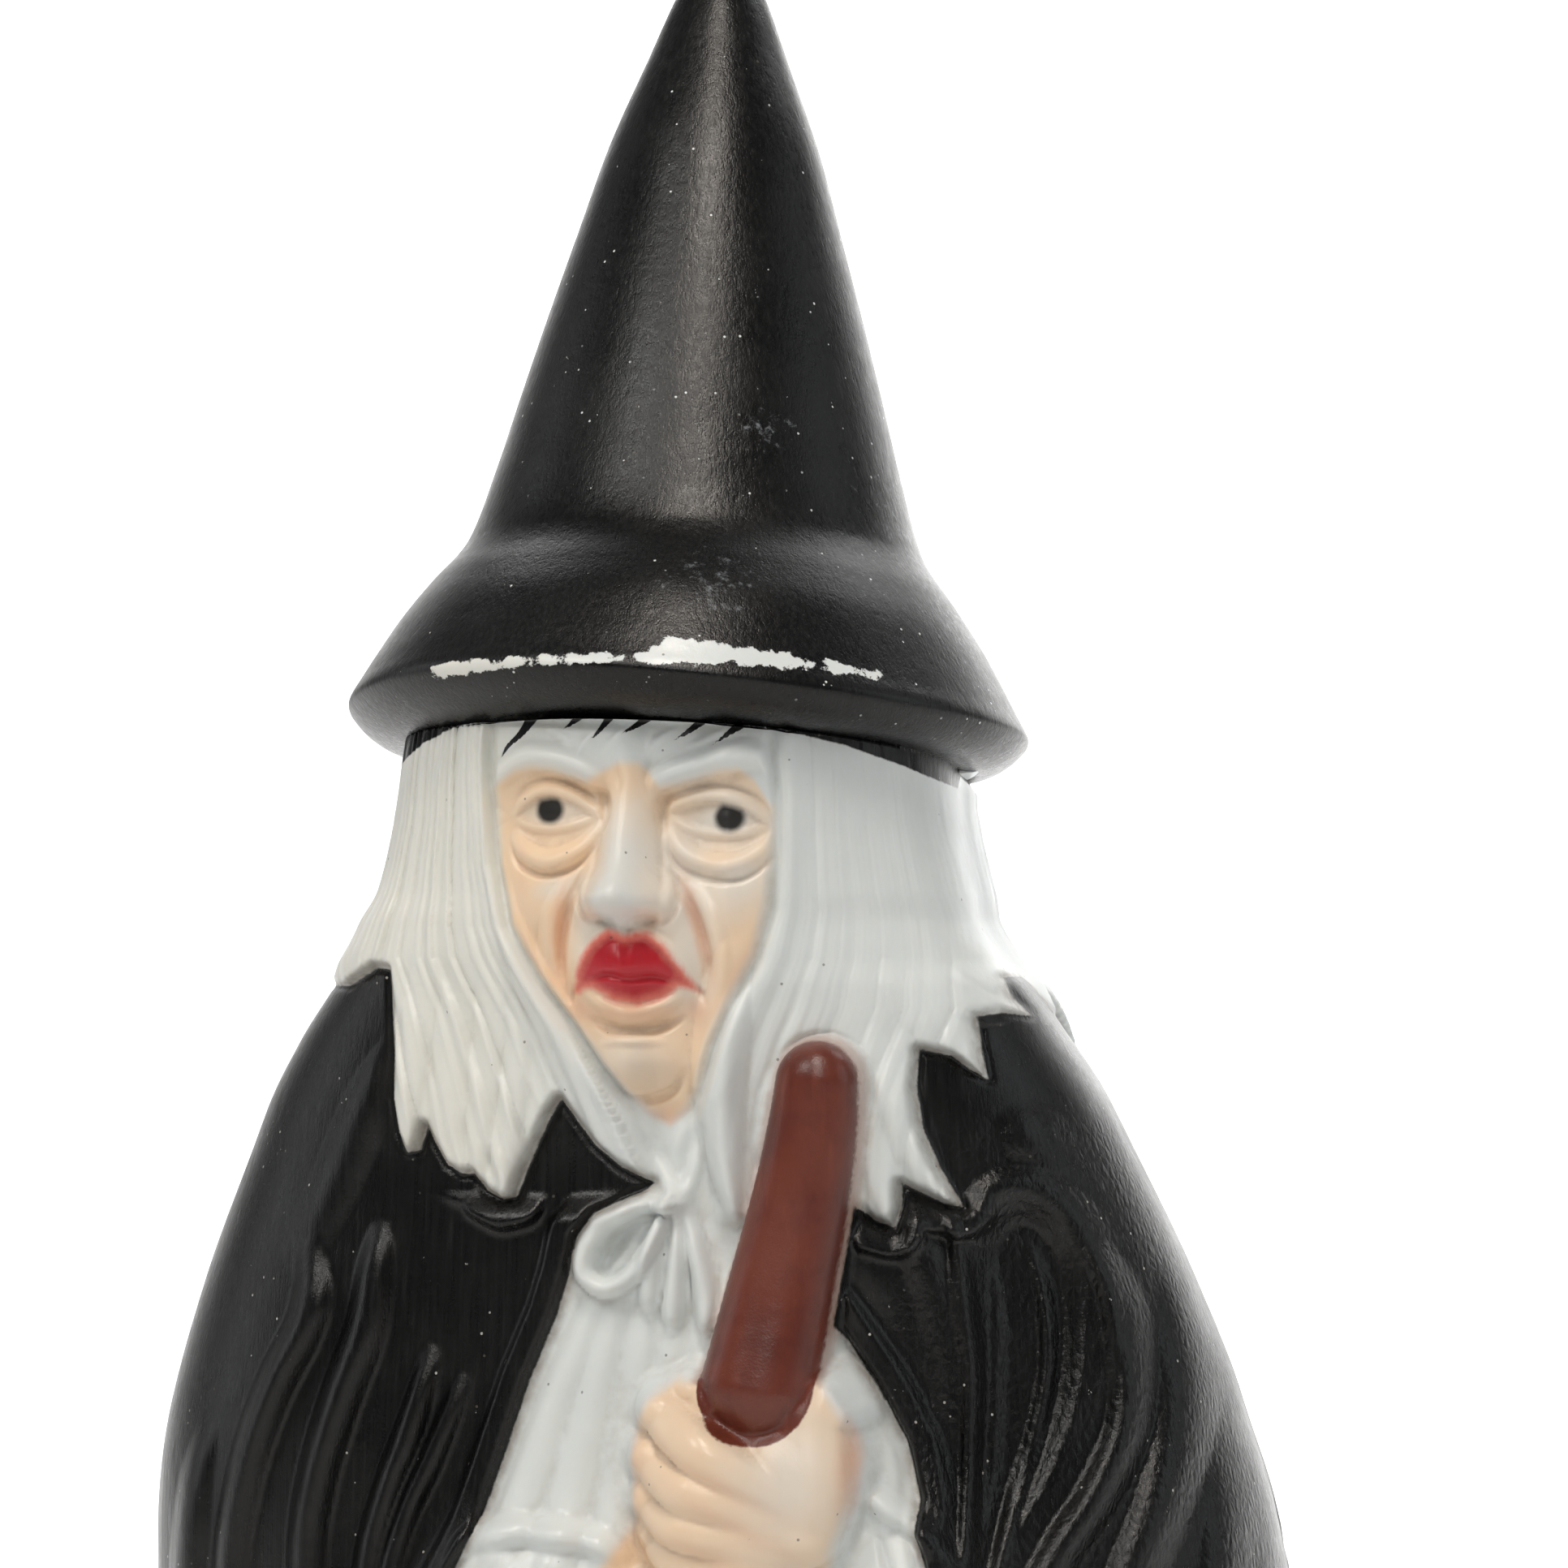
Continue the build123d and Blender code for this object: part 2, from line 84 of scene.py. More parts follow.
def path_distance(x, z, path):
    """Distance from each point to an open path, and how far along the path it is, 0 to 1."""
    best = np.full(x.shape, 1e9)
    along = np.zeros(x.shape)
    runs = np.hypot(*np.diff(path[:, :2], axis=0).T)
    total = max(runs.sum(), 1e-9)
    done = 0.0
    for (ax, az), (bx, bz), run in zip(path[:-1, :2], path[1:, :2], runs):
        dx, dz = bx - ax, bz - az
        t = np.clip(((x - ax) * dx + (z - az) * dz) / max(run * run, 1e-12), 0, 1)
        d = np.hypot(x - ax - t * dx, z - az - t * dz)
        near = d < best
        best[near] = d[near]
        along[near] = (done + t[near] * run) / total
        done += run
    return best, along


def share_along(path):
    """How far along an open path each of its own points is, 0 to 1."""
    runs = np.concatenate([[0], np.cumsum(np.hypot(*np.diff(path[:, :2], axis=0).T))])
    return runs / runs[-1]


def inside_depth(x, z, outline):
    """Signed distance to a closed outline, positive inside."""
    p = np.asarray(outline, float)
    q = np.roll(p, -1, axis=0)
    d, _ = path_distance(x, z, np.vstack([p, p[:1]]))
    odd = np.zeros(x.shape, bool)
    for (ax, az), (bx, bz) in zip(p, q):
        if az == bz:
            continue
        crosses = (az > z) != (bz > z)
        odd ^= crosses & (x < (bx - ax) * (z - az) / (bz - az) + ax)
    return np.where(odd, d, -d)


def smooth_max(a, b, k):
    """The larger of two values, with their crossing rounded over k."""
    h = np.clip(0.5 + 0.5 * (a - b) / k, 0, 1)
    return b + (a - b) * h + k * h * (1 - h)


def ease(t):
    """0 to 1 with a slow start and end."""
    t = np.clip(t, 0, 1)
    return t * t * (3 - 2 * t)


def wave_noise(x, seed, octaves=3):
    """Smooth, seeded noise of one variable, about -1 to 1, with a period near 1."""
    rng = np.random.RandomState(seed)
    total = np.zeros_like(x)
    for k in range(octaves):
        for _ in range(3):
            f = (1.0 + rng.rand()) * 2.0**k
            total += np.sin(x * f * 2 * math.pi + rng.rand() * 6.3) * 0.33 * 0.6**k
    return total


# ---------------------------------------------------------------- the shell's plain form

# Height, half width, middle x, side y, front y, back y: the trunk up to the hairline
TRUNK = [
    (0.0, 160.0, 0.0, 0.0, -108.0, 104.0),
    (4.0, 165.0, 0.0, 0.0, -111.0, 107.0),
    (14.0, 168.0, 0.0, 0.0, -114.0, 110.0),
    (90.0, 176.0, 0.0, 0.0, -119.0, 114.0),
    (180.0, 182.5, 0.0, 0.0, -123.0, 120.0),
    (290.0, 184.0, -2.0, 0.0, -125.0, 124.0),
    (362.0, 180.5, -4.0, -1.0, -125.0, 124.0),
    (387.0, 178.0, -6.0, -3.0, -125.0, 123.0),
    (420.0, 170.5, -8.0, -8.0, -124.0, 121.0),
    (461.0, 156.0, -8.0, -20.0, -122.0, 114.0),
    (500.0, 138.5, -8.0, -32.0, -121.0, 104.0),
    (518.0, 130.0, -8.0, -38.0, -122.0, 97.0),
    (535.0, 119.5, -8.0, -44.0, -123.0, 88.0),
    (551.0, 108.5, -7.0, -50.0, -126.0, 76.0),
    (560.0, 102.0, -9.0, -52.0, -128.0, 69.0),
    (570.0, 96.0, -9.0, -54.0, -129.0, 62.0),
    (580.0, 91.7, -6.4, -56.0, -130.0, 56.0),
    (601.0, 86.8, -5.3, -57.0, -133.0, 46.0),
    (612.0, 85.2, -5.0, -57.0, -134.0, 42.0),
    (622.0, 84.5, -4.0, -56.0, -134.5, 40.0),
]
TRUNK_SQUARE = 2.25               # the plan's roundness: 2 is an ellipse, more is squarer
BACK_COLUMNS = 150

# Radius and height along the hat's own axis, from the rim plane
HAT = [
    (83.0, -13.5),
    (86.0, -13.0),
    (93.0, -10.5),
    (100.0, -6.0),
    (103.4, -2.6),
    (104.7, -0.8),
    (105.0, 0.4),
    (104.3, 2.4),
    (102.4, 5.8),
    (98.4, 13.0),
    (90.7, 25.5),
    (82.0, 36.0),
    (74.5, 44.5),
    (71.0, 50.0),
    (63.5, 73.0),
    (56.7, 98.0),
    (50.0, 122.0),
    (41.8, 150.0),
    (33.5, 178.0),
    (22.9, 206.0),
    (12.6, 232.0),
    (9.5, 237.5),
    (5.0, 241.0),
    (0.6, 242.3),
]
HAT_X, HAT_Y, HAT_Z = -4.0, -55.0, 635.0
HAT_BACK = math.radians(5.0)      # leans back
HAT_SIDE = math.radians(1.6)      # leans to +X


def row_table():
    """One row per station: plan centre x, y, z, half width, front and back depth, lean, squareness."""
    rows = []
    for z, half, mid, side, front, back in TRUNK:
        lean = float(ease((z - 575) / 50))
        rows.append((mid, side, z, half, side - front, back - side, lean, TRUNK_SQUARE))
    for r, s in HAT:
        rows.append((HAT_X + s * math.sin(HAT_SIDE), HAT_Y + s * math.sin(HAT_BACK),
                     HAT_Z + s * math.cos(HAT_BACK), r, r, r, 1.0, 2.0))
    return np.array(rows)


def profile_lengths(table):
    """How far along the profile each station is, by half width and height."""
    return np.concatenate([[0], np.cumsum(np.hypot(np.diff(table[:, 3]), np.diff(table[:, 2])))])


def spaced(spacing_points, spacings, start, end):
    """Values from start to end whose spacing follows a table."""
    fine = np.linspace(start, end, 6000)
    density = 1.0 / np.interp(fine, spacing_points, spacings)
    count = np.concatenate([[0], np.cumsum((density[1:] + density[:-1]) / 2 * np.diff(fine))])
    n = int(round(count[-1])) + 1
    return np.interp(np.linspace(0, count[-1], n), count, fine)


def plain_form():
    """The shell before any relief: x, y, z and profile length as grids, the columns' angles, the front's columns."""
    table = row_table()
    chord = profile_lengths(table)
    z_of = lambda s: np.interp(s, chord, table[:, 2])
    zs = [0, 300, 340, 400, 440, 500, 520, 612, 640, 700, 880]
    gaps = [2.4, 2.4, 1.1, 1.0, 1.1, 1.1, 0.75, 0.75, 1.1, 1.9, 1.9]
    s_grid = np.linspace(0, chord[-1], 4000)
    s = spaced(s_grid, np.interp(z_of(s_grid), zs, gaps), 0, chord[-1])
    cols = [monotone(chord, table[:, k], s) for k in range(8)]
    mid, side, height, half, front, back, lean, square = [c[:, None] for c in cols]
    # columns: front half from the left parting line round to the right one, then the back
    tau = spaced([0, 0.5, 1.2, 1.94, 2.64, math.pi], np.array([15, 10, 6.2, 6.2, 10, 15]) * 1e-3, 0, math.pi)
    rear = np.linspace(0, math.pi, BACK_COLUMNS)[1:-1]
    angle = np.concatenate([math.pi + tau, rear])
    c, sn = np.cos(angle)[None], np.sin(angle)[None]
    across = np.sign(c) * np.abs(c) ** (2 / square) * half
    depth = np.where(sn < 0, front, back)
    forward = np.sign(sn) * np.abs(sn) ** (2 / square) * depth
    x = mid + across
    y = side + forward
    z = height - forward * np.sin(HAT_BACK) * lean - across * np.sin(HAT_SIDE) * lean
    return x, y, z, np.repeat(s[:, None], len(angle), 1), angle, len(tau)


# ---------------------------------------------------------------- outlines and strokes, in x and z

# The cape's black edges against the hair, the collar and the blouse, and on down to the hem
CAPE_LEFT = [
    (-260, 551.5), (-102, 551.5), (-96, 554), (-90, 557), (-85, 556.5), (-84, 545), (-83, 531), (-83, 518),
    (-81, 508), (-78, 502), (-74, 502.5), (-71.5, 510), (-69, 505), (-65, 498.5), (-60, 496), (-56, 496),
    (-52, 491), (-47, 488.5), (-43, 489.5), (-40, 497), (-36, 506), (-32, 514), (-29, 518.5), (-25, 513),
    (-19, 505), (-11, 498.5), (-1, 494), (-4, 491.5), (-11, 488.5), (-19, 485), (-24, 478), (-26, 468),
    (-30, 455), (-38, 436), (-45, 415), (-53, 392), (-64, 370), (-76, 335), (-86, 280), (-93, 200),
    (-97, 110), (-99, 40), (-100, -30), (-260, -30),
]
CAPE_RIGHT = [
    (260, 556), (106, 556), (96, 554), (99, 548), (104, 542.5), (97, 543.5), (90.5, 542.5), (92, 533),
    (94, 524), (89, 527), (84, 531), (75, 533), (74.5, 522), (76.5, 510), (81, 499), (88, 486.5),
    (82, 488), (75, 491.5), (70.5, 494), (70.5, 487), (69, 481), (63, 483), (58, 488), (53, 494),
    (46, 488), (46, 462), (50, 457), (56, 448), (64, 436), (73, 419), (77, 403), (76.5, 393),
    (81, 380), (85, 350), (91, 290), (97, 200), (101, 110), (103, 40), (104, -30), (260, -30),
]
FACE = [
    (-48, 632), (-48.5, 612), (-46, 587), (-42, 569), (-33.5, 554), (-23, 540), (-15, 528), (-9, 520),
    (-3, 514), (4, 510), (10, 515), (14, 522), (18, 534), (23, 545), (31, 560), (35, 574), (36.5, 590),
    (37, 605), (36, 618), (36, 632),
]
MIDLINE = 3.8                     # the face's own middle is this far to -X
LIPS = [
    (-22.2, 549.5), (-20, 557), (-15, 564.5), (-10, 568), (-7.5, 567.5), (-5, 566.3), (-2, 567.3), (1, 567.3),
    (5.5, 563.5), (9.5, 558), (14, 550.2), (8.7, 551.2), (4.7, 548), (-2.8, 546.2), (-9.8, 547.4), (-16, 551),
]
FRINGE = [
    [(-44.5, 618, 0.5, 0.3), (-42.5, 621.5, 1.0, 0.8), (-38, 625.5, 1.4, 1), (-33, 632, 2.6, 1)],
    [(-25, 626, 0.5, 0.3), (-22, 628, 1.0, 0.8), (-17, 632, 2.0, 1)],
    [(-16.5, 622.5, 0.4, 0.3), (-14, 625, 0.8, 0.8), (-10, 630, 1.6, 1)],
    [(-7.5, 624.2, 0.4, 0.3), (-4.5, 626, 0.8, 0.8), (1, 630, 1.6, 1)],
    [(7, 622.4, 0.4, 0.3), (10.5, 624.4, 0.8, 0.8), (16, 628.5, 1.6, 1)],
    [(18.5, 621.0, 0.4, 0.3), (22, 623.2, 0.8, 0.8), (27, 627, 1.6, 1)],
]
# Painted shade: soft dark strokes (x, z, half width, strength) along the lids' creases, under the brows, beside the
# nose and nostrils, at the chin's creases and down the face's sides
FACE_SHADE_LINES = [
    [(-39.5, 602, 0.6, 0.3), (-36, 605, 1.0, 0.9), (-31, 607, 1.1, 1), (-25, 605.8, 1.1, 1), (-17, 601.6, 0.7, 0.4)],
    [(-40, 609, 0.5, 0.2), (-33, 611.6, 0.8, 0.6), (-25, 611.2, 0.8, 0.6), (-15, 606, 0.6, 0.3)],
    [(-39, 601, 0.6, 0.3), (-34, 599, 0.9, 0.8), (-26, 598.6, 0.9, 0.8), (-19, 600.8, 0.6, 0.4)],
    [(-40, 595, 0.8, 0.3), (-36, 589, 1.1, 0.7), (-30.5, 585.6, 1.2, 0.8), (-24, 588, 1.1, 0.7),
     (-18.5, 594, 0.8, 0.3)],
    [(-39, 611.5, 1, 0.2), (-28, 612.6, 2.6, 0.45), (-18, 609.4, 3.2, 0.75), (-12.5, 605, 2.6, 0.6),
     (-12, 598, 1.5, 0.2)],
    [(5, 602.4, 0.6, 0.3), (12, 604.4, 1.0, 0.8), (20, 604.8, 1.1, 1), (27, 603.2, 1.1, 1), (33, 598.6, 0.7, 0.4)],
    [(4, 606.4, 0.5, 0.2), (13, 609.2, 0.8, 0.6), (22, 609.8, 0.8, 0.6), (32, 605.6, 0.6, 0.3)],
    [(8, 600.4, 0.6, 0.3), (14, 597.2, 0.9, 0.7), (21, 595.4, 0.9, 0.8), (29, 596.6, 0.8, 0.6), (33, 599, 0.5, 0.3)],
    [(8, 594, 0.8, 0.3), (13, 588, 1.1, 0.6), (21, 584.6, 1.2, 0.8), (29, 587, 1.2, 0.8), (34, 592, 0.9, 0.3)],
    [(30, 612, 1, 0.2), (20, 611.6, 2.4, 0.45), (10, 609.6, 3.0, 0.7), (3.6, 605.6, 2.6, 0.65), (3.4, 599, 1.5, 0.2)],
    [(-14, 590, 1, 0.2), (-18, 582, 1.4, 0.6), (-19.4, 576, 1.3, 0.8), (-17, 571, 1.1, 0.8), (-12, 569, 0.8, 0.3)],
    [(6, 590, 1, 0.2), (9, 582, 1.6, 0.6), (9.6, 575, 1.3, 0.8), (6.6, 570.4, 1.1, 0.8), (1, 569, 0.8, 0.3)],
    [(-18, 543, 1, 0.2), (-12, 539.6, 1.8, 0.8), (-4.5, 538.2, 2.0, 0.9), (4, 539.8, 1.8, 0.8), (10, 543, 1, 0.2)],
    [(-15, 525, 1, 0.3), (-9, 519.6, 1.6, 0.8), (-2, 518.4, 1.8, 0.9), (5, 521.5, 1.8, 0.7), (9, 528, 1, 0.2)],
    [(35, 606, 1, 0.2), (34.5, 590, 2.2, 0.5), (32, 572, 2.8, 0.55), (25, 554, 2.6, 0.45), (16, 534, 2.2, 0.4),
     (10, 520, 1.5, 0.2)],
    [(-44, 594, 1, 0.2), (-41, 575, 1.3, 0.4), (-33, 557, 1.3, 0.4), (-24, 543, 1.3, 0.4), (-14, 529, 1, 0.2)],
]
HAND = [
    (9, 437.5), (2, 432), (-3, 424), (-4, 408), (-4, 396), (-11, 386), (-22, 374), (-20, 362), (0, 356),
    (24, 358), (42, 366), (50, 380), (54, 392), (58.5, 404), (60, 416), (57, 427), (51, 437), (44, 441),
    (38, 435), (30, 431.5), (22, 433), (17, 437),
]
CANE_AXIS = [(48.5, 523.5), (47, 510), (43.5, 490), (37.5, 462), (32.5, 437), (24, 395), (7, 300), (-12, 200),
             (-30, 100), (-46, 8)]
CANE_HALF = [12.2, 13.2, 14.2, 15.6, 17.0, 16.5, 15.5, 15.0, 15.0, 15.5]
CANE_OUT = [128, 127, 126.5, 129, 133, 131, 128, 125, 119, 113]      # how far forward its axis is
CANE_ABOVE_FIST = 5               # this many of the cane's points are above the fist
TOES = (-30, 36)                  # the shoes' middles in x


class Front:
    """The front half as heights towards -Y over x and z, the way a mould half is cut."""

    def __init__(self, x, z, height):
        self.x, self.z, self.h = x, z, height

    def near(self, points, reach):
        p = np.asarray(points, float)
        low, high = p[:, :2].min(0) - reach, p[:, :2].max(0) + reach
        return np.nonzero((self.x > low[0]) & (self.x < high[0]) & (self.z > low[1]) & (self.z < high[1]))[0]

    def blob(self, x, z, wide, tall, height, turn=0.0):
        """A soft round swelling."""
        i = self.near([(x, z)], 4 * max(wide, tall))
        c, s = math.cos(math.radians(turn)), math.sin(math.radians(turn))
        dx, dz = self.x[i] - x, self.z[i] - z
        u, v = (dx * c + dz * s) / wide, (dz * c - dx * s) / tall
        self.h[i] += height * np.exp(-0.5 * (u * u + v * v))

    def stroke_profile(self, points, power):
        """A tapering stroke's share of height at the points near it. Rows are x, z, half width, height."""
        path = smooth_path(points, 6)
        i = self.near(path, path[:, 2].max())
        d, along = path_distance(self.x[i], self.z[i], path)
        runs = share_along(path)
        half = np.interp(along, runs, path[:, 2])
        height = np.interp(along, runs, path[:, 3])
        return i, height * np.clip(1 - (d / np.maximum(half, 0.05)) ** 2, 0, 1) ** power

    def stroke(self, points, power=1.5):
        """Adds a ridge, or a groove where the height is negative."""
        i, rise = self.stroke_profile(points, power)
        self.h[i] += rise

    def stroke_each(self, many):
        """Adds ridges and grooves one on top of another."""
        for points in many:
            self.stroke(points)

    def strokes(self, many, power=1.2):
        """Adds several ridges that merge where they cross instead of piling up."""
        top = np.zeros_like(self.h)
        for points in many:
            i, rise = self.stroke_profile(points, power)
            top[i] = np.maximum(top[i], rise)
        self.h += top

    def tube(self, points, blend=1.5, steep=3.2):
        """A round bar laid into the surface. Rows are x, z, radius, height of its axis."""
        path = smooth_path(points, 6)
        i = self.near(path, path[:, 2].max() + 14)
        d, along = path_distance(self.x[i], self.z[i], path)
        runs = share_along(path)
        r = np.interp(along, runs, path[:, 2])
        axis = np.interp(along, runs, path[:, 3])
        u = np.clip(d / r, 0, 1)
        top = axis + r * (1 - u**2.1) ** (1 / 2.1) - steep * np.maximum(d - r, 0)
        self.h[i] = smooth_max(self.h[i], top, blend)
        return i, r - d


def strands(u, z, count, seed, drift=0.0015):
    """Rounded hair strands across u from 0 to 1, as many as count, about 0 to 1 in height."""
    bend = wave_noise(z * drift, seed, 1) * 0.03
    phase = (u + bend) * count + 0.35 * wave_noise(u * 2.3, seed + 1, 2)
    saw = np.abs(np.sin(math.pi * phase))
    weight = 0.65 + 0.35 * wave_noise(np.floor(phase) * 0.37 + 0.11, seed + 2, 1)
    return saw**0.7 * weight


def hair_left_u(x, z):
    """How far across the hair each point is, 0 at the face and 1 at the outer edge."""
    inner = np.interp(z, [494, 505, 520, 540, 555, 569, 587, 612, 632], [-1, -8, -14, -23, -33, -41, -46, -48, -48])
    outer = np.interp(z, [485, 500, 520, 545, 560, 580, 600, 632], [-74, -80, -84, -90, -95, -88, -83, -79])
    return (x - inner) / (outer - inner)


def hair_right_u(x, z):
    """The same on the other side."""
    inner = np.interp(z, [480, 505, 520, 534, 545, 560, 574, 605, 632], [20, 11, 13, 18, 23, 31, 35, 37, 36])
    outer = np.interp(z, [480, 500, 520, 545, 560, 580, 600, 632], [88, 92, 97, 106, 101, 93, 87, 82])
    return (x - inner) / (outer - inner)


def shape_cape(f, cape):
    """Folds of the cape, its raised edge against the blouse, and the hollow below the right shoulder."""
    before = f.h.copy()
    long_folds = [
        [(-112, 476, 5, 0), (-110, 460, 8, 3.5), (-113, 448, 8, 4.5), (-123, 430, 8, 5), (-133, 404, 8, 4.5),
         (-139, 372, 8, 4), (-138, 320, 9, 4), (-132, 240, 10, 4), (-130, 150, 11, 4.5), (-132, 60, 12, 5),
         (-134, 4, 13, 5.5)],
        [(-86, 482, 4, 0), (-88, 468, 7, 3.5), (-91, 449, 8, 4.5), (-99, 428, 8, 5), (-107, 402, 8, 5),
         (-110, 376, 8, 4.5), (-108, 320, 8, 4), (-106, 240, 9, 4), (-109, 140, 10, 4.5), (-112, 40, 11, 5),
         (-113, 4, 12, 5)],
        [(-68, 446, 4, 0), (-72, 432, 5, 3), (-77, 416, 6, 4), (-82, 403, 6, 4), (-88, 382, 6, 3.5),
         (-91, 350, 6, 2), (-93, 320, 6, 0)],
        [(-58, 438, 3, 0), (-62, 427, 4, 2), (-69, 411, 5, 3), (-76, 396, 5, 3), (-82, 376, 5, 2.5),
         (-85, 350, 5, 0)],
        [(-148, 420, 5, 0), (-156, 390, 9, 3), (-160, 340, 10, 4), (-157, 260, 11, 4), (-152, 160, 12, 5),
         (-153, 60, 13, 6), (-154, 4, 13, 6)],
        [(-122, 330, 4, 0), (-119, 270, 6, 3), (-119, 180, 6, 3.5), (-121, 80, 7, 4), (-123, 4, 8, 4)],
        [(122, 476, 4, 0), (130, 462, 6, 3.5), (134, 444, 7, 4.5), (134, 422, 7, 5), (126, 402, 7, 5),
         (116, 386, 7, 4.5), (108, 366, 7, 4), (104, 330, 7, 3.5), (106, 250, 8, 4), (112, 150, 9, 4.5),
         (117, 50, 10, 5), (118, 4, 11, 5)],
        [(143, 470, 4, 0), (149, 452, 8, 3), (150, 424, 9, 4), (143, 396, 9, 4.5), (134, 370, 9, 4.5),
         (130, 330, 9, 4), (131, 250, 10, 4), (136, 150, 11, 5), (139, 50, 12, 5.5), (140, 4, 12, 6)],
        [(160, 410, 5, 0), (161, 380, 8, 3), (156, 330, 9, 4), (153, 250, 10, 4), (157, 150, 11, 5), (159, 4, 12, 6)],
        [(119, 330, 4, 0), (118, 280, 6, 3), (123, 190, 6, 3.5), (127, 90, 7, 4), (129, 4, 8, 4)],
    ]
    f.strokes([[(a, b, w, 1.45 * h) for a, b, w, h in fold] for fold in long_folds], 1.35)
    # the hollow under the right arm's drape, with an arched rim above and rolled ridges down it
    hollow = smooth_path([(90, 470), (93, 480), (99, 486), (107, 486), (114, 480), (119, 468), (121, 450),
                          (119, 430), (112, 410), (103, 392), (97, 376), (94, 366), (91, 384), (90, 410),
                          (91, 440)], 5, closed=True)
    i = f.near(hollow, 12)
    f.h[i] -= 7.0 * ease((inside_depth(f.x[i], f.z[i], hollow) + 2.0) / 9.0)
    f.stroke_each([
        [(84, 480, 3, 0), (90, 487, 5, 2.5), (100, 493, 6, 3.5), (110, 491, 6, 3.5), (120, 482, 6, 3),
         (126, 466, 6, 2.5), (128, 446, 5, 2), (125, 424, 4, 0)],
        [(95, 474, 1.5, 0), (97, 455, 2.5, 1.5), (97, 430, 2.5, 2), (96, 405, 2.5, 2), (95, 380, 2.5, 2),
         (95, 350, 3, 1.5), (96, 300, 3, 0)],
        [(105, 476, 2, 0), (110, 458, 3, 2.5), (111, 438, 3, 3), (107, 416, 3.5, 3), (101, 396, 3.5, 3),
         (98, 372, 3, 2), (97, 340, 3, 0)],
        [(84, 488, 2, 0), (86, 478, 3, 2.5), (88, 460, 4, 3.5), (91, 440, 4, 4), (91, 415, 3.5, 4),
         (91, 392, 3.5, 4), (92, 365, 4, 3), (95, 320, 4, 2), (98, 250, 5, 0)],
        [(100, 516, 6, 0), (106, 508, 10, 3.5), (112, 500, 9, 2.5), (122, 488, 6, 0)],
        [(77, 508, 2, 0), (74, 492, 4, 2.0), (75, 478, 7, 3.5), (80, 462, 7, 3.0), (84, 440, 6, 2),
         (85, 410, 5, 0)],
    ])
    f.blob(60, 472, 7, 12, 4.0, turn=18)
    f.stroke([(-74, 546, 3, 0), (-90, 520, 9, 2.5), (-104, 490, 10, 2.5), (-118, 465, 8, 0)])
    # folds stay inside the cape
    keep = ease((cape - 1.0) / 7.0)
    f.h[:] = before + (f.h - before) * keep
    # raised edge with a stitched-looking band against the blouse, below the collar
    low = ease((492 - f.z) / 10)
    band = ease(cape / 2.2) * (1 - ease((cape - 7.0) / 5.0))
    f.h[:] += low * 5.0 * band
    f.h[:] -= low * 1.6 * np.exp(-((cape - 9.5) / 1.3) ** 2)


def shape_blouse(f, cape):
    """Pleats that fall from the bow, then the plain skirt's folds down to the hem."""
    before = f.h.copy()
    pleats = [
        [(-16, 464, 3, 0), (-22, 450, 5, 2.5), (-31, 428, 6, 3.2), (-40, 402, 7, 3.2), (-46, 388, 6, 2)],
        [(-12, 462, 3, 0), (-15, 448, 5, 2.5), (-20, 425, 6, 3.2), (-26, 398, 7, 3.2), (-28, 386, 6, 2)],
        [(-4, 458, 3, 0), (-5, 445, 5, 2.2), (-8, 425, 5.5, 2.8), (-12, 400, 6, 2.8), (-12, 386, 6, 2)],
        [(6, 456, 3, 0), (5, 446, 4, 2.0), (3, 432, 5, 2.2), (2, 415, 5, 1.5)],
        [(18, 462, 3, 0), (15, 450, 4, 1.8), (12, 438, 4, 1.8), (11, 425, 4, 0)],
        [(52, 452, 3, 0), (57, 441, 4.5, 2.4), (63, 428, 5, 2.8), (67, 412, 5, 2.6), (67, 398, 5, 2)],
        [(48, 448, 2, 0), (52, 436, 4, 2.0), (57, 420, 4, 2.2), (61, 405, 4, 2)],
    ]
    f.strokes([[(a, b, 1.15 * w, 1.15 * h) for a, b, w, h in pleat] for pleat in pleats], 1.2)
    middle = np.interp(f.z, [0, 340], [2, 6])
    spread = np.interp(f.z, [0, 340], [98, 74])
    u = (f.x - middle) / spread
    turns = u * 4.2 + 0.22 * wave_noise(u * 1.7, 31, 2) + 0.06 * wave_noise(f.z / 180, 32, 1)
    fold = np.abs(np.sin(math.pi * turns))
    depth = np.interp(f.z, [0, 120, 300, 345], [8.5, 7.5, 5.0, 0])
    f.h[:] += depth * (fold**0.8 - 0.4) * ease((365 - f.z) / 40)
    keep = ease((-cape - 0.5) / 5.0)
    f.h[:] = before + (f.h - before) * keep


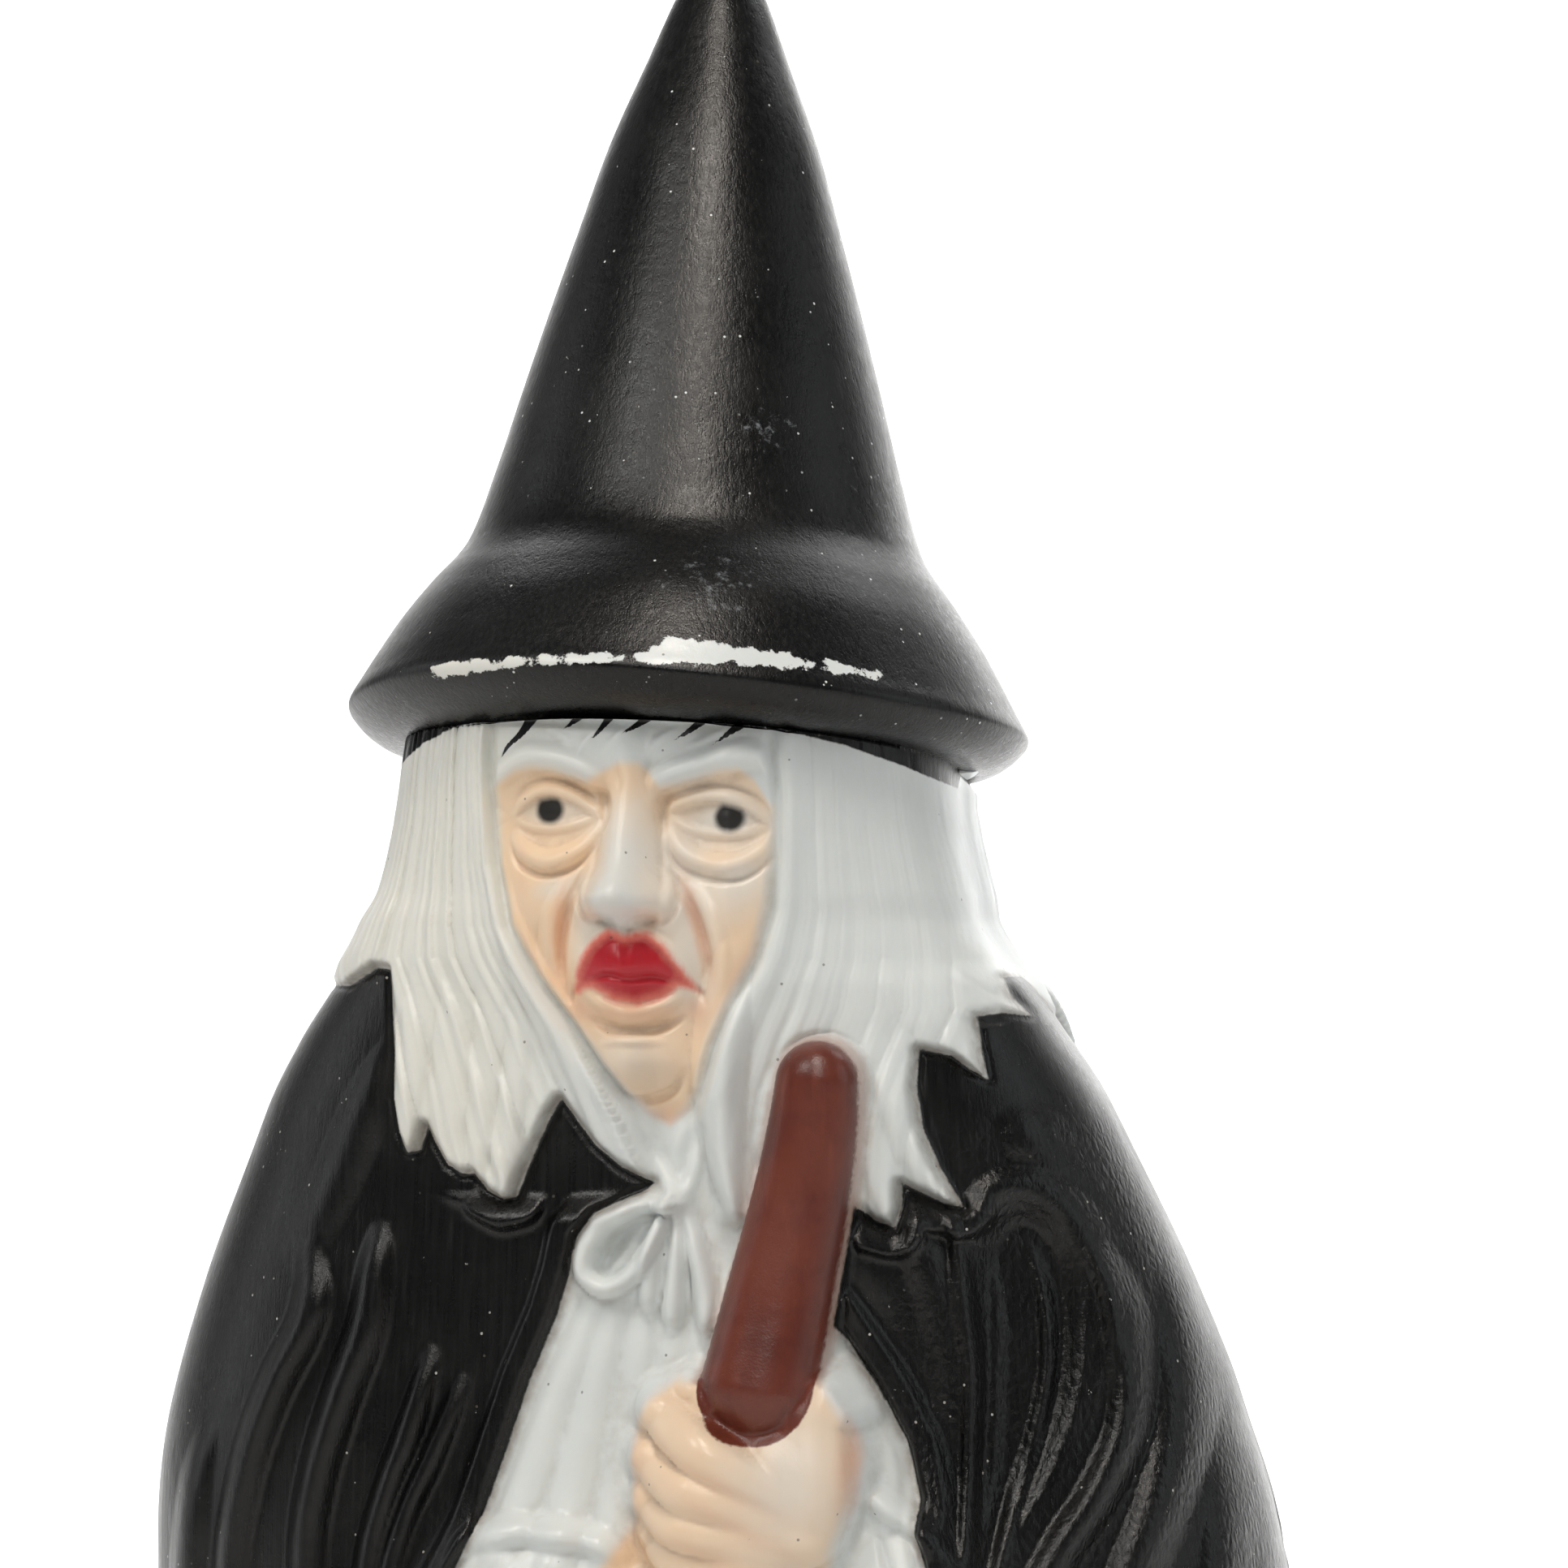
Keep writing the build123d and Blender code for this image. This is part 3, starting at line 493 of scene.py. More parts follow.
def shape_hair(f, cape, face):
    """Long strands either side of the face, raised over the cape with pointed locks."""
    top = ease((f.z - 480) / 6)
    lift = ease(-cape / 3.2) * top * ease((np.abs(f.x - 8) - 6) / 10)
    f.h[:] += 3.8 * lift
    left = (f.x < np.interp(f.z, [494, 520, 569, 632], [-2, -14, -41, -48])) & (cape < 0)
    right = (f.x > np.interp(f.z, [480, 520, 560, 632], [18, 13, 31, 36])) & (cape < 0)
    edge = ease(-cape / 2.5) * ease(-face / 2.5) * ease((f.z - 478) / 8) * ease((640 - f.z) / 10)
    u = hair_left_u(f.x, f.z)
    rise = 3.2 * strands(u, f.z, 6.0, 11) + 1.2 * strands(u, f.z, 15.0, 14) + 0.4 * strands(u, f.z, 37.0, 17)
    f.h[:] += np.where(left, rise * edge, 0)
    u = hair_right_u(f.x, f.z)
    low = ease((575 - f.z) / 60)
    rise = (0.7 + 2.2 * low) * strands(u, f.z, 5.0, 21) + (0.4 + 0.6 * low) * strands(u, f.z, 15.0, 24)
    rise += 0.34 * strands(u, f.z, 42.0, 27)
    f.h[:] += np.where(right, rise * edge, 0)
    # hair overhangs the face a little on both sides
    side = np.exp(-((face + 4.5) / 3.2) ** 2) * ease((f.z - 500) / 20) * ease((636 - f.z) / 14)
    f.h[:] += np.where(left, 2.6, 1.8) * side * (face < 0)
    locks = [
        [(-47, 600, 2, 0), (-45, 580, 4, 1.6), (-38, 560, 6, 3.2), (-29, 541, 8, 4.2), (-20, 524, 8.5, 4.6),
         (-12, 510, 7, 3.8), (-5, 499, 4, 2.0), (-1, 495, 2, 0)],
        [(-70, 560, 4, 0), (-74, 540, 6, 2.5), (-77, 520, 6, 3.5), (-77.5, 505, 3, 2.5), (-77, 501, 1.5, 0)],
        [(-58, 560, 4, 0), (-62, 535, 7, 2.5), (-63, 512, 6, 3.5), (-60, 498, 3, 2.0)],
        [(-48, 560, 4, 0), (-51, 530, 6, 2.5), (-53, 508, 5, 3.5), (-54, 496, 2.5, 2.0)],
        [(-40, 550, 3, 0), (-42, 525, 5, 2.8), (-45, 505, 5, 3.8), (-46, 491, 2.5, 2.5)],
        [(-84, 590, 3, 0), (-88, 575, 5, 2.0), (-94, 562, 6, 2.5), (-97, 555, 4, 1.0)],
    ]
    f.strokes(locks, 1.0)
    locks = [
        [(74, 560, 4, 0), (84, 548, 7, 2.0), (94, 544, 5, 2.5), (103, 543, 2, 0.5)],
        [(66, 560, 4, 0), (77, 545, 8, 2.2), (88, 533, 5, 3.0), (93.5, 525, 2, 1)],
        [(60, 540, 4, 0), (68, 520, 8, 2.5), (76, 502, 6, 3.5), (86, 488, 2.5, 1.5)],
        [(62, 530, 4, 0), (63, 512, 6, 2.5), (65, 496, 5, 3.2), (68.5, 482, 2, 1.5)],
    ]
    f.strokes(locks, 1.0)
    f.stroke([(27, 566, 3, 0), (22, 552, 7, 3.5), (20, 535, 8.5, 6.0), (19, 518, 8, 6.5), (20, 503, 6.5, 5.5),
              (22, 492, 4.5, 4.0), (24, 484, 2, 1.5)], 0.8)


def shape_brows(f):
    """The forehead, the brows with their hairs, and the frown between them."""
    f.blob(-6, 622, 26, 6, 1.5)
    f.stroke_each([
        [(-48, 609, 3, 0), (-43, 615, 4.5, 3.0), (-35, 618.6, 5, 4.4), (-25, 617.2, 5, 5.2), (-16, 613, 5, 4.6),
         (-10.5, 609, 3.5, 0)],
        [(39, 612, 3, 0), (34, 617.5, 4.5, 3.0), (26, 618.2, 5, 4.4), (15, 615.2, 5, 5.2), (5, 611.6, 5, 4.6),
         (0, 608, 3.5, 0)],
        [(-16, 609.5, 1.5, 0), (-12.5, 606.5, 2.6, -2.6), (-11.5, 601, 2.4, -2.2), (-12, 596, 1.5, 0)],
        [(8, 608.5, 1.5, 0), (4.6, 605.5, 2.6, -2.4), (3.8, 600, 2.4, -2.0), (4.6, 595, 1.5, 0)],
        [(-45, 622, 1, 0), (-38, 621.6, 1.6, 0.9), (-30, 622.5, 1, 0)],
        [(-30, 627, 1, 0), (-24, 623.5, 1.6, 1.0), (-18, 619, 1, 0)],
        [(-14, 626, 1, 0), (-18, 622, 1.5, 0.9), (-20, 618, 1, 0)],
        [(-3, 628, 1, 0), (-8, 624, 1.6, 0.9), (-13, 619, 1, 0)],
        [(10, 627, 1, 0), (4, 623.5, 1.6, 0.9), (-2, 618, 1, 0)],
        [(24, 626, 1, 0), (17, 623, 1.6, 0.9), (9, 619, 1, 0)],
        [(34, 623, 1, 0), (28, 622, 1.6, 0.8), (20, 620, 1, 0)],
        [(-9, 619, 1.5, 0), (-7.5, 612, 1.8, -1.2), (-7, 606, 1.5, 0)],
        [(1, 619, 1.5, 0), (0, 612, 1.8, -1.0), (0, 606, 1.5, 0)],
    ])


def shape_eyes(f):
    """Sockets, eyeballs, lids and the bags below."""
    for x, z, turn in ((-28.5, 603, 6), (21, 600.5, -8)):
        f.blob(x, z, 11.5, 6.2, -7.5, turn)
        f.blob(x, z - 0.3, 6.8, 4.0, 5.0, turn)
    lids = [
        [(-42.5, 600.5, 1, 0), (-38, 605.4, 2.0, 2.4), (-31, 608.6, 2.5, 3.4), (-23, 607.2, 2.4, 3.2),
         (-16, 602.8, 1.7, 1.6), (-12.5, 600.6, 1, 0)],
        [(-42, 600.5, 1, 0), (-36, 598.6, 1.6, 1.3), (-29, 597.6, 1.7, 1.5), (-21, 598.8, 1.6, 1.3),
         (-14, 601.5, 1.2, 0)],
        [(3.5, 602.0, 1, 0), (9, 604.6, 2.0, 2.2), (17, 606.6, 2.5, 3.4), (26, 605.6, 2.4, 3.2),
         (32.5, 601.2, 1.7, 1.6), (36, 598, 1, 0)],
        [(6, 600.8, 1, 0), (12, 597.4, 1.6, 1.2), (20, 595.6, 1.7, 1.5), (28, 596.0, 1.6, 1.3), (34.5, 599, 1.2, 0)],
    ]
    f.strokes(lids, 1.0)
    creases = [
        [(-41, 606.5, 0.8, 0), (-35, 611.4, 1.1, -1.2), (-27, 611.8, 1.1, -1.2), (-18, 607.8, 1.1, -1.2),
         (-12, 603, 0.8, 0)],
        [(4, 606, 0.8, 0), (12, 609.2, 1.1, -1.2), (22, 610.0, 1.1, -1.2), (31, 606.6, 1.1, -1.0),
         (36, 601.5, 0.8, 0)],
        [(-43, 602, 0.7, 0), (-46, 604, 0.9, -0.8), (-48, 606, 0.7, 0)],
        [(-43, 600, 0.7, 0), (-46, 599, 0.9, -0.8), (-48, 598.6, 0.7, 0)],
    ]
    for line in creases:
        f.stroke(line)
    # bags under the eyes
    bags = [
        [(-41, 598, 1.5, 0), (-38, 592, 3.2, 2.4), (-30, 588.3, 3.6, 3.2), (-21, 591, 3.2, 2.6), (-15, 597, 2, 0.8),
         (-13, 600, 1, 0)],
        [(6, 598, 1.5, 0), (10, 591.5, 3.0, 2.2), (17, 587.6, 3.4, 2.8), (26, 587.2, 3.4, 3.0), (33, 591.5, 2.8, 2.0),
         (37, 597, 1, 0)],
    ]
    f.strokes(bags, 1.1)
    f.stroke_each([
        [(-42, 594, 0.8, 0), (-39, 587.5, 1.3, -1.5), (-31, 583.8, 1.5, -1.8), (-21, 586, 1.4, -1.7),
         (-13, 594, 1, 0)],
        [(5, 593, 0.8, 0), (9, 586.5, 1.3, -1.5), (17, 582.8, 1.5, -1.7), (27, 582.5, 1.5, -1.7),
         (35, 588, 1.2, -1.2), (38, 593, 0.8, 0)],
    ])


def shape_cheeks(f):
    """Round cheeks over hollow jaws."""
    f.blob(-32, 577, 10, 8, 2.6, 25)
    f.blob(23, 575, 9, 8, 2.6, -25)
    f.blob(-31, 556, 7, 11, -2.4, -30)
    f.blob(22, 552, 6, 10, -2.4, 30)
    f.stroke([(-38, 572, 1, 0), (-33, 558, 1.5, 0.9), (-25, 545, 1.6, 1.0), (-16, 531, 1.3, 0.8), (-11, 523, 1, 0)])


def shape_nose(f):
    """The long nose, its nostrils and the folds down to the mouth's corners."""
    f.stroke([(-0.5, 618, 5, 0), (-0.4, 610, 7.5, 3.2), (-1, 600, 8.0, 6.5), (-1.4, 590, 9.0, 9.5),
              (-1.6, 581, 10.4, 12.5), (-1.6, 575, 10.4, 11.0), (-1.6, 570.5, 7.5, 3.4), (-1.6, 568, 4, 0)], 1.15)
    f.blob(-1.8, 577.8, 5.8, 5.2, 7.0)
    f.blob(-11.4, 576.6, 4.0, 4.4, 7.2)
    f.blob(8.4, 576.0, 4.0, 4.4, 7.2)
    f.blob(-7.0, 571.0, 2.4, 1.4, -3.6)
    f.blob(4.4, 570.6, 2.4, 1.4, -3.6)
    # grooves round the nostrils, then folds from the nose to the mouth's corners
    f.stroke_each([
        [(-15.4, 584, 1, 0), (-15.4, 577, 1.6, -2.2), (-13.0, 571.2, 1.5, -1.8), (-9.5, 569.6, 1, 0)],
        [(12.2, 583, 1, 0), (12.6, 576, 1.6, -2.2), (10.4, 570.8, 1.5, -1.8), (7.2, 569.4, 1, 0)],
        [(-13, 588, 1, 0), (-16.5, 580, 2.2, -2.4), (-20.5, 570, 2.4, -2.8), (-22, 560, 2.2, -2.2),
         (-21, 550, 1.5, -1.0), (-20, 545, 1, 0)],
        [(9.5, 587, 1, 0), (14, 579, 2.2, -2.4), (18.5, 569, 2.4, -2.8), (20.5, 559, 2.2, -2.2),
         (20, 550, 1.5, -1.0), (19.5, 545, 1, 0)],
        [(-20, 584, 1.5, 0), (-24.5, 573, 3.5, 2.0), (-26.5, 560, 3.5, 1.8), (-26, 548, 2, 0)],
        [(16.5, 583, 1.5, 0), (22, 572, 3.5, 2.0), (25, 560, 3.5, 1.8), (24.5, 549, 2, 0)],
    ])


def shape_mouth(f):
    """Pouting lips and a jutting chin."""
    f.blob(-0.8, 557, 15.5, 10, 6.5)
    f.blob(-0.8, 557.0, 7.5, 5.5, 2.5)
    f.stroke_each([
        [(-18, 551, 1, 0), (-15.5, 558, 2.2, 1.6), (-10.5, 564.2, 2.6, 2.2), (-5, 567, 2.4, 2.0),
         (-1, 565.6, 2.0, 1.4), (4, 566.6, 2.4, 2.0), (9.4, 563, 2.6, 2.2), (13.8, 557.4, 2.2, 1.6),
         (17.5, 551, 1, 0)],
        [(-1.2, 571, 1.5, 0), (-1, 567, 2.4, -0.9), (-0.8, 562, 2.0, -0.6), (-0.6, 557, 1.5, 0)],
        [(-14, 552.5, 1, 0), (-7, 554.8, 1.6, -1.7), (-0.5, 553.6, 1.6, -1.5), (6, 554.2, 1.6, -1.7),
         (13, 552.2, 1, 0)],
        [(-17.5, 553, 1, 0), (-18.8, 549.5, 1.3, -1.6), (-19.2, 546, 1, 0)],
        [(17, 552.5, 1, 0), (18.6, 549.5, 1.3, -1.8), (19.6, 545.5, 1, 0)],
        [(-15, 550, 1.5, 0), (-10, 546.4, 2.6, 2.6), (-1, 543.6, 3.0, 3.6), (8, 545.8, 2.6, 2.8),
         (14, 549.5, 1.5, 0)],
        [(-15, 543, 1.5, 0), (-8, 539.8, 2.6, -2.8), (-0.6, 538.6, 2.8, -3.4), (7, 539.8, 2.6, -2.8),
         (14, 543, 1.5, 0)],
    ])
    # chin
    f.blob(-0.4, 530.5, 10.5, 6.6, 8.5)
    f.stroke_each([
        [(-11, 534.6, 1.5, 0), (-5, 536, 2.2, 1.8), (2, 536, 2.2, 1.8), (9, 535, 1.5, 0)],
        [(-10, 524, 1, 0), (-5, 519.6, 2.2, -2.2), (2, 518.6, 2.4, -2.6), (9, 521, 2.0, -2.0), (13, 526, 1, 0)],
    ])
    f.blob(4, 512, 6, 5, -1.5)


def shape_face(f):
    """A scowling face, as relief on a flat ground."""
    f.blob(-6, 590, 33, 34, 4.5)
    f.blob(-4, 552, 17, 22, 4.0)
    shape_brows(f)
    shape_eyes(f)
    shape_cheeks(f)
    middle = Front(f.x + MIDLINE, f.z, f.h)
    shape_nose(middle)
    shape_mouth(middle)


def shape_bow(f):
    """The scarf's folds, the knot, one open loop and two tails."""
    f.stroke_each([
        [(-1, 503, 1.5, 0), (2, 497, 3, 2.2), (5, 492, 3, 2.0), (6, 489, 2, 0)],
        [(12, 508, 2, 0), (11, 499, 3.2, 2.4), (9, 491, 2.8, 2.0), (8, 487, 2, 0)],
        [(7, 512, 2, 0), (6, 504, 2.4, 1.4), (6, 496, 2, 0)],
    ])
    f.blob(-10, 475, 9.5, 9, 4.0)
    loop = smooth_path([(3.5, 487.5, 3.0, 6.5), (-4, 488, 3.2, 6.8), (-13, 483.5, 3.4, 7.0), (-20, 476, 3.6, 7.2),
                        (-21.5, 468, 3.6, 7.2), (-15.5, 463.5, 3.4, 7.0), (-8, 466, 3.2, 6.8),
                        (-2.5, 473.5, 3.0, 6.6), (2, 482, 2.8, 6.4)], 6)
    f.strokes([loop], 0.75)
    f.stroke([(-1, 484, 1, 0), (-8, 480, 3.0, -3.5), (-13.5, 474, 4.2, -5.0), (-15, 470, 3, -3)])
    f.strokes([
        [(4, 487, 2.5, 2), (1.5, 478, 3.4, 5.5), (-0.5, 468, 4.0, 6.4), (-1.5, 460, 3.8, 6.0), (-1, 456, 2.0, 1.5)],
        [(6.5, 487, 2.5, 2), (6.6, 477, 3.0, 6.0), (6.2, 466, 3.8, 7.0), (5.4, 456, 4.0, 6.6), (5, 452, 2.5, 1.5)],
        [(8.5, 487, 2.5, 2), (11.5, 477, 3.4, 6.4), (14.5, 466, 4.4, 7.4), (16.0, 455, 4.6, 7.2),
         (16, 449.5, 3.0, 2.0)],
    ], 0.75)
    f.blob(5.2, 489, 3.4, 3.2, 7.5)


def shape_arms(f):
    """Two white cuffs, the fist round the cane and a second hand below it."""
    f.blob(-40, 368, 24, 17, 15, 12)
    f.blob(-62, 352, 24, 16, 10, 20)
    f.blob(74, 374, 17, 18, 13, -25)
    f.blob(88, 350, 16, 18, 9, -20)
    f.stroke_each([
        [(-62, 381, 2, 0), (-54, 390, 5, 4.0), (-44, 393, 5.5, 5.0), (-28, 393, 5.5, 5.5), (-15, 390, 5, 5.0),
         (-9, 384, 3, 0)],
        [(54, 408, 2, 0), (60, 405, 4.5, 4.5), (69, 401, 5, 5), (79, 394, 4.5, 4.5), (84, 386, 3, 0)],
    ])
    for x0, z0, x1, z1 in ((-20, 388, -34, 352), (-32, 388, -50, 348), (-44, 388, -66, 346), (64, 398, 76, 356),
                           (73, 394, 90, 350)):
        mid = ((x0 + x1) / 2 + 1.5, (z0 + z1) / 2)
        f.stroke([(x0, z0, 1, 0), (mid[0], mid[1], 2.6, -2.2), (x1, z1, 1, 0)])
    # the mass of the fist, its flat back and its fingers, which run down and across
    f.tube([(24, 414, 22, 123), (27, 403, 25, 126), (24, 386, 22, 125), (14, 372, 19, 122)], 2.5, 2.2)
    f.tube([(45, 426, 12, 133), (46.5, 410, 13, 136), (44, 396, 12, 134)], 3.0, 2.4)
    f.tube([(30, 418, 13, 132), (39, 412, 13, 136), (46, 402, 10, 135)], 3.0, 2.4)
    fingers = [
        [(4.5, 428.5, 6.2, 138), (10, 424, 6.8, 144), (18, 418.5, 7.0, 149), (29, 411.5, 6.6, 148),
         (40, 404, 6.0, 143), (49, 397.5, 5.0, 137)],
        [(1.6, 415.5, 6.0, 137), (7, 411, 6.6, 143), (14, 407, 6.8, 148), (26, 403.4, 6.4, 147),
         (37, 398.5, 5.8, 142), (46, 392, 4.8, 136)],
        [(1.4, 403.8, 5.8, 135), (6, 400, 6.4, 141), (12, 396.6, 6.6, 146), (24, 393.6, 6.2, 145),
         (35, 389.5, 5.6, 140), (43, 385, 4.6, 134)],
        [(2.4, 393, 5.4, 132), (6, 389.5, 5.8, 138), (11, 386.6, 6.0, 142), (22, 384, 5.6, 141), (32, 381, 5.0, 136)],
    ]
    for finger in fingers:
        f.tube(finger, 1.8, 2.4)
    f.tube([(9, 433.5, 4.5, 134), (15, 434, 4.5, 138), (19, 430, 4.5, 140)], 2.0, 2.4)
    f.tube([(44, 436, 4.5, 136), (50, 434, 4.5, 137), (54, 428, 4.5, 136)], 2.0, 2.4)
    # second hand, seen below
    for k in range(3):
        z = 373 - 8.5 * k
        f.tube([(-14, z - 2, 5.2, 128), (-4, z + 1, 5.8, 135), (8, z + 1, 6.0, 139), (22, z - 1, 5.6, 136),
                (32, z - 3, 4.6, 130)], 2.2, 2.2)


def shape_shoes(f):
    """Two toes that look out below the hem."""
    for x in TOES:
        i = f.near([(x, 14)], 60)
        dx, dz = (f.x[i] - x) / 25, (f.z[i] - 4) / 21
        inside = np.clip(1 - dx**2 - np.maximum(dz, 0) ** 2, 0, 1)
        toe = 108 + 38 * np.sqrt(inside) - 30 * np.clip(np.hypot(dx, dz) - 1, 0, 1)
        f.h[i] = smooth_max(f.h[i], toe, 2.0)


# ---------------------------------------------------------------- the shell's meshes

WALL = 2.2
OUTSIDE = -60.0                   # the signed distance of a point plainly outside its paint
FLOOR_BLACK = -8.0                # the same for the black on the base, which is near the hem's paint
INNER_STEP = 4                    # the inner wall has every 4th row and column of the outer one,
BACK_INNER_STEP = 3               # or every 3rd in the body's back
PAD_LAMP = (0.0, 150.0, 46.0, 122.0, 33.0)      # x, z, pad radius, pad plane y, hole radius
PAD_PLUG = (0.0, 42.0, 19.0, 114.5, 12.0)
# How far round the back, from the left parting line to the right, and the height of the hair's edge there
BACK_LOCKS = [
    (0, 551.5), (0.055, 553), (0.095, 531), (0.135, 550), (0.185, 518), (0.225, 541), (0.26, 527), (0.30, 543),
    (0.355, 507), (0.40, 536), (0.437, 519), (0.475, 538), (0.528, 502), (0.57, 533), (0.607, 515), (0.645, 539),
    (0.70, 509), (0.745, 541), (0.785, 523), (0.825, 545), (0.872, 528), (0.92, 549), (0.955, 541), (1, 556),
]


def flatten_pads(x, y, z, inset):
    """Raises the two flat pads out of the back."""
    for px, pz, r, plane, _ in (PAD_LAMP, PAD_PLUG):
        away = np.hypot(x - px, z - pz) - (r - inset)
        k = ease(1 - away / 7.0)
        near = (y > 40) & (k > 0)
        y[near] = (y + (plane - inset - y) * k)[near]


def hair_edge_back(side):
    """Height of the hair's lower edge round the back: rounded notches between pointed locks."""
    at, level = np.array(BACK_LOCKS).T
    k = np.interp(side, at, range(len(at)))
    i = np.minimum(k.astype(int), len(at) - 2)
    notch, tip = np.maximum(level[i], level[i + 1]), np.minimum(level[i], level[i + 1])
    towards_tip = np.where(level[i + 1] < level[i], k - i, 1 - (k - i))
    return notch - (notch - tip) * np.clip(towards_tip, 0, 1) ** 0.85


def sculpt_back(x, y, z, angle):
    """Rise of the folds, the hair and its locks round the back, and how far each point is above the hair's edge."""
    side = 1 - angle[None] / math.pi + 0 * z
    fade = ease(np.sin(angle) / 0.34)[None]
    wander = 0.006 * np.sin(z * 0.11) * ease(side / 0.1) * ease((1 - side) / 0.1)
    edge = hair_edge_back(side + wander)
    depth = z - edge
    hair = ease(depth / 3.5) * ease((618 - z) / 8)
    u = side + 0.012 * np.sin(z * 0.05 + side * 30)
    rise = 4.0 * hair
    rise += ease(depth / 10) * hair * (2.3 * strands(u, z, 13.0, 41) + 0.9 * strands(u, z, 40.0, 44)
                                       + 0.25 * strands(u, z, 120.0, 47))
    grow = np.interp(z, [0, 60, 250, 400, 520, 560], [6.5, 6.0, 5.0, 4.0, 2.5, 0])
    sway = 0.010 * wave_noise(z / 260, 51, 1) + 0.004 * wave_noise(z / 90, 52, 1)
    w = (side + sway) * 9.5 + 0.3 * wave_noise(side * 3.1, 53, 2)
    ridge = 1 - np.abs(2 * (w % 1.0) - 1)
    second = 1 - np.abs(2 * ((w * 0.61 + 0.3 + 0.2 * np.sin(z / 120)) % 1.0) - 1)
    fold = grow * (ridge**2 * 0.9 + 0.5 * second**3 - 0.45)
    fold *= ease((575 - z) / 40)
    for px, pz, r, *_ in (PAD_LAMP, PAD_PLUG):
        clear = ease((np.hypot(x - px, z - pz) - r - 1) / 22)
        fold = np.where(y > 0, fold * clear, fold)
    rise = rise + fold * (1 - hair)
    band = ease((z - 4) / 3) * ease((15 - z) / 3)
    rise += 1.0 * band * ease(np.abs(x) / 30)
    return rise * fade, depth


def grid_faces(rows, cols):
    """The quads of a grid, by the index of their corners."""
    i, j = np.meshgrid(np.arange(rows - 1), np.arange(cols - 1), indexing="ij")
    a = (i * cols + j).ravel()
    return np.stack([a, a + 1, a + cols + 1, a + cols], 1)


def closed_patch(name, outer, inner, step, marks):
    """A closed piece of wall from two matching grids, the inner one with every step-th row and column."""
    rows, cols = outer.shape[:2]
    irows, icols = inner.shape[:2]
    base = rows * cols
    faces = [tuple(f) for f in grid_faces(rows, cols).tolist()]
    faces += [tuple(reversed([base + k for k in f])) for f in grid_faces(irows, icols).tolist()]
    # the rim of wall between the two grids, along all four sides
    rid = lambda i, j: i * cols + j
    iid = lambda i, j: base + i * icols + j
    row_at = [min(k * step, rows - 1) for k in range(irows - 1)] + [rows - 1]
    col_at = [min(k * step, cols - 1) for k in range(icols - 1)] + [cols - 1]
    for k in range(icols - 1):
        span = range(col_at[k], col_at[k + 1] + 1)
        faces.append(tuple([rid(0, j) for j in reversed(span)] + [iid(0, k), iid(0, k + 1)]))
        faces.append(tuple([rid(rows - 1, j) for j in span] + [iid(irows - 1, k + 1), iid(irows - 1, k)]))
    for k in range(irows - 1):
        span = range(row_at[k], row_at[k + 1] + 1)
        faces.append(tuple([rid(i, 0) for i in span] + [iid(k + 1, 0), iid(k, 0)]))
        faces.append(tuple([rid(i, cols - 1) for i in reversed(span)] + [iid(k, icols - 1), iid(k + 1, icols - 1)]))
    co = np.vstack([outer.reshape(-1, 3), inner.reshape(-1, 3)]) * MM
    mesh = bpy.data.meshes.new(name)
    mesh.from_pydata(co.tolist(), [], faces)
    for key, values in marks.items():
        data = np.full(len(co), OUTSIDE if key.startswith("d_") else 0.0, np.float32)
        data[:base] = values.ravel()
        mesh.attributes.new(key, "FLOAT", "POINT").data.foreach_set("value", data)
    # the outer skin alone is smooth-shaded, with sharp edges round it
    bm = bmesh.new()
    bm.from_mesh(mesh)
    for k, face in enumerate(bm.faces):
        face.smooth = k < (rows - 1) * (cols - 1)
    for edge in bm.edges:
        if len(edge.link_faces) == 2 and edge.link_faces[0].smooth != edge.link_faces[1].smooth:
            edge.smooth = False
    bmesh.ops.remove_doubles(bm, verts=bm.verts, dist=2e-7)
    bmesh.ops.recalc_face_normals(bm, faces=bm.faces)
    bm.to_mesh(mesh)
    bm.free()
    obj = bpy.data.objects.new(name, mesh)
    bpy.context.scene.collection.objects.link(obj)
    return obj


def min_over(values, step):
    """The lowest value within step cells of every step-th cell."""
    padded = np.pad(values, step, mode="edge")
    out = values.copy()
    rows, cols = values.shape
    for di in range(-step, step + 1, 2):
        for dj in range(-step, step + 1, 2):
            i, j = step + di, step + dj
            out = np.minimum(out, padded[i:i + rows, j:j + cols])
    return out


def picked(grid, step):
    """Every step-th row and column, always with the last of each."""
    r = list(range(0, grid.shape[0] - 1, step)) + [grid.shape[0] - 1]
    c = list(range(0, grid.shape[1] - 1, step)) + [grid.shape[1] - 1]
    return grid[np.ix_(r, c)]


def add_floor(grids, z_floor):
    """Rows that close the base, from its middle out to its edge."""
    scales = [0.0, 0.2, 0.4, 0.6, 0.75, 0.87, 0.96]
    x, y, z = grids
    extra_x = np.array([x[0] * k for k in scales])
    extra_y = np.array([y[0] * k for k in scales])
    extra_z = np.full_like(extra_x, z_floor)
    return [np.vstack([extra_x, x]), np.vstack([extra_y, y]), np.vstack([extra_z, z])], len(scales)


def cavity_of(h, radius):
    """How far each point lies below its surroundings, in mm."""
    blur = h.copy()
    for _ in range(2):
        for axis in (0, 1):
            total = np.zeros_like(blur)
            for k in range(-radius, radius + 1):
                total += np.roll(blur, k, axis)
            blur = total / (2 * radius + 1)
    return blur - h


def soft_spots(x, z, spots):
    """Sprayed patches: x, z, wide, tall, strength, turn."""
    total = np.zeros_like(x)
    for cx, cz, wide, tall, strength, turn in spots:
        c, s = math.cos(math.radians(turn)), math.sin(math.radians(turn))
        dx, dz = x - cx, z - cz
        u, v = (dx * c + dz * s) / wide, (dz * c - dx * s) / tall
        total += strength * np.exp(-0.5 * (u * u + v * v))
    return total


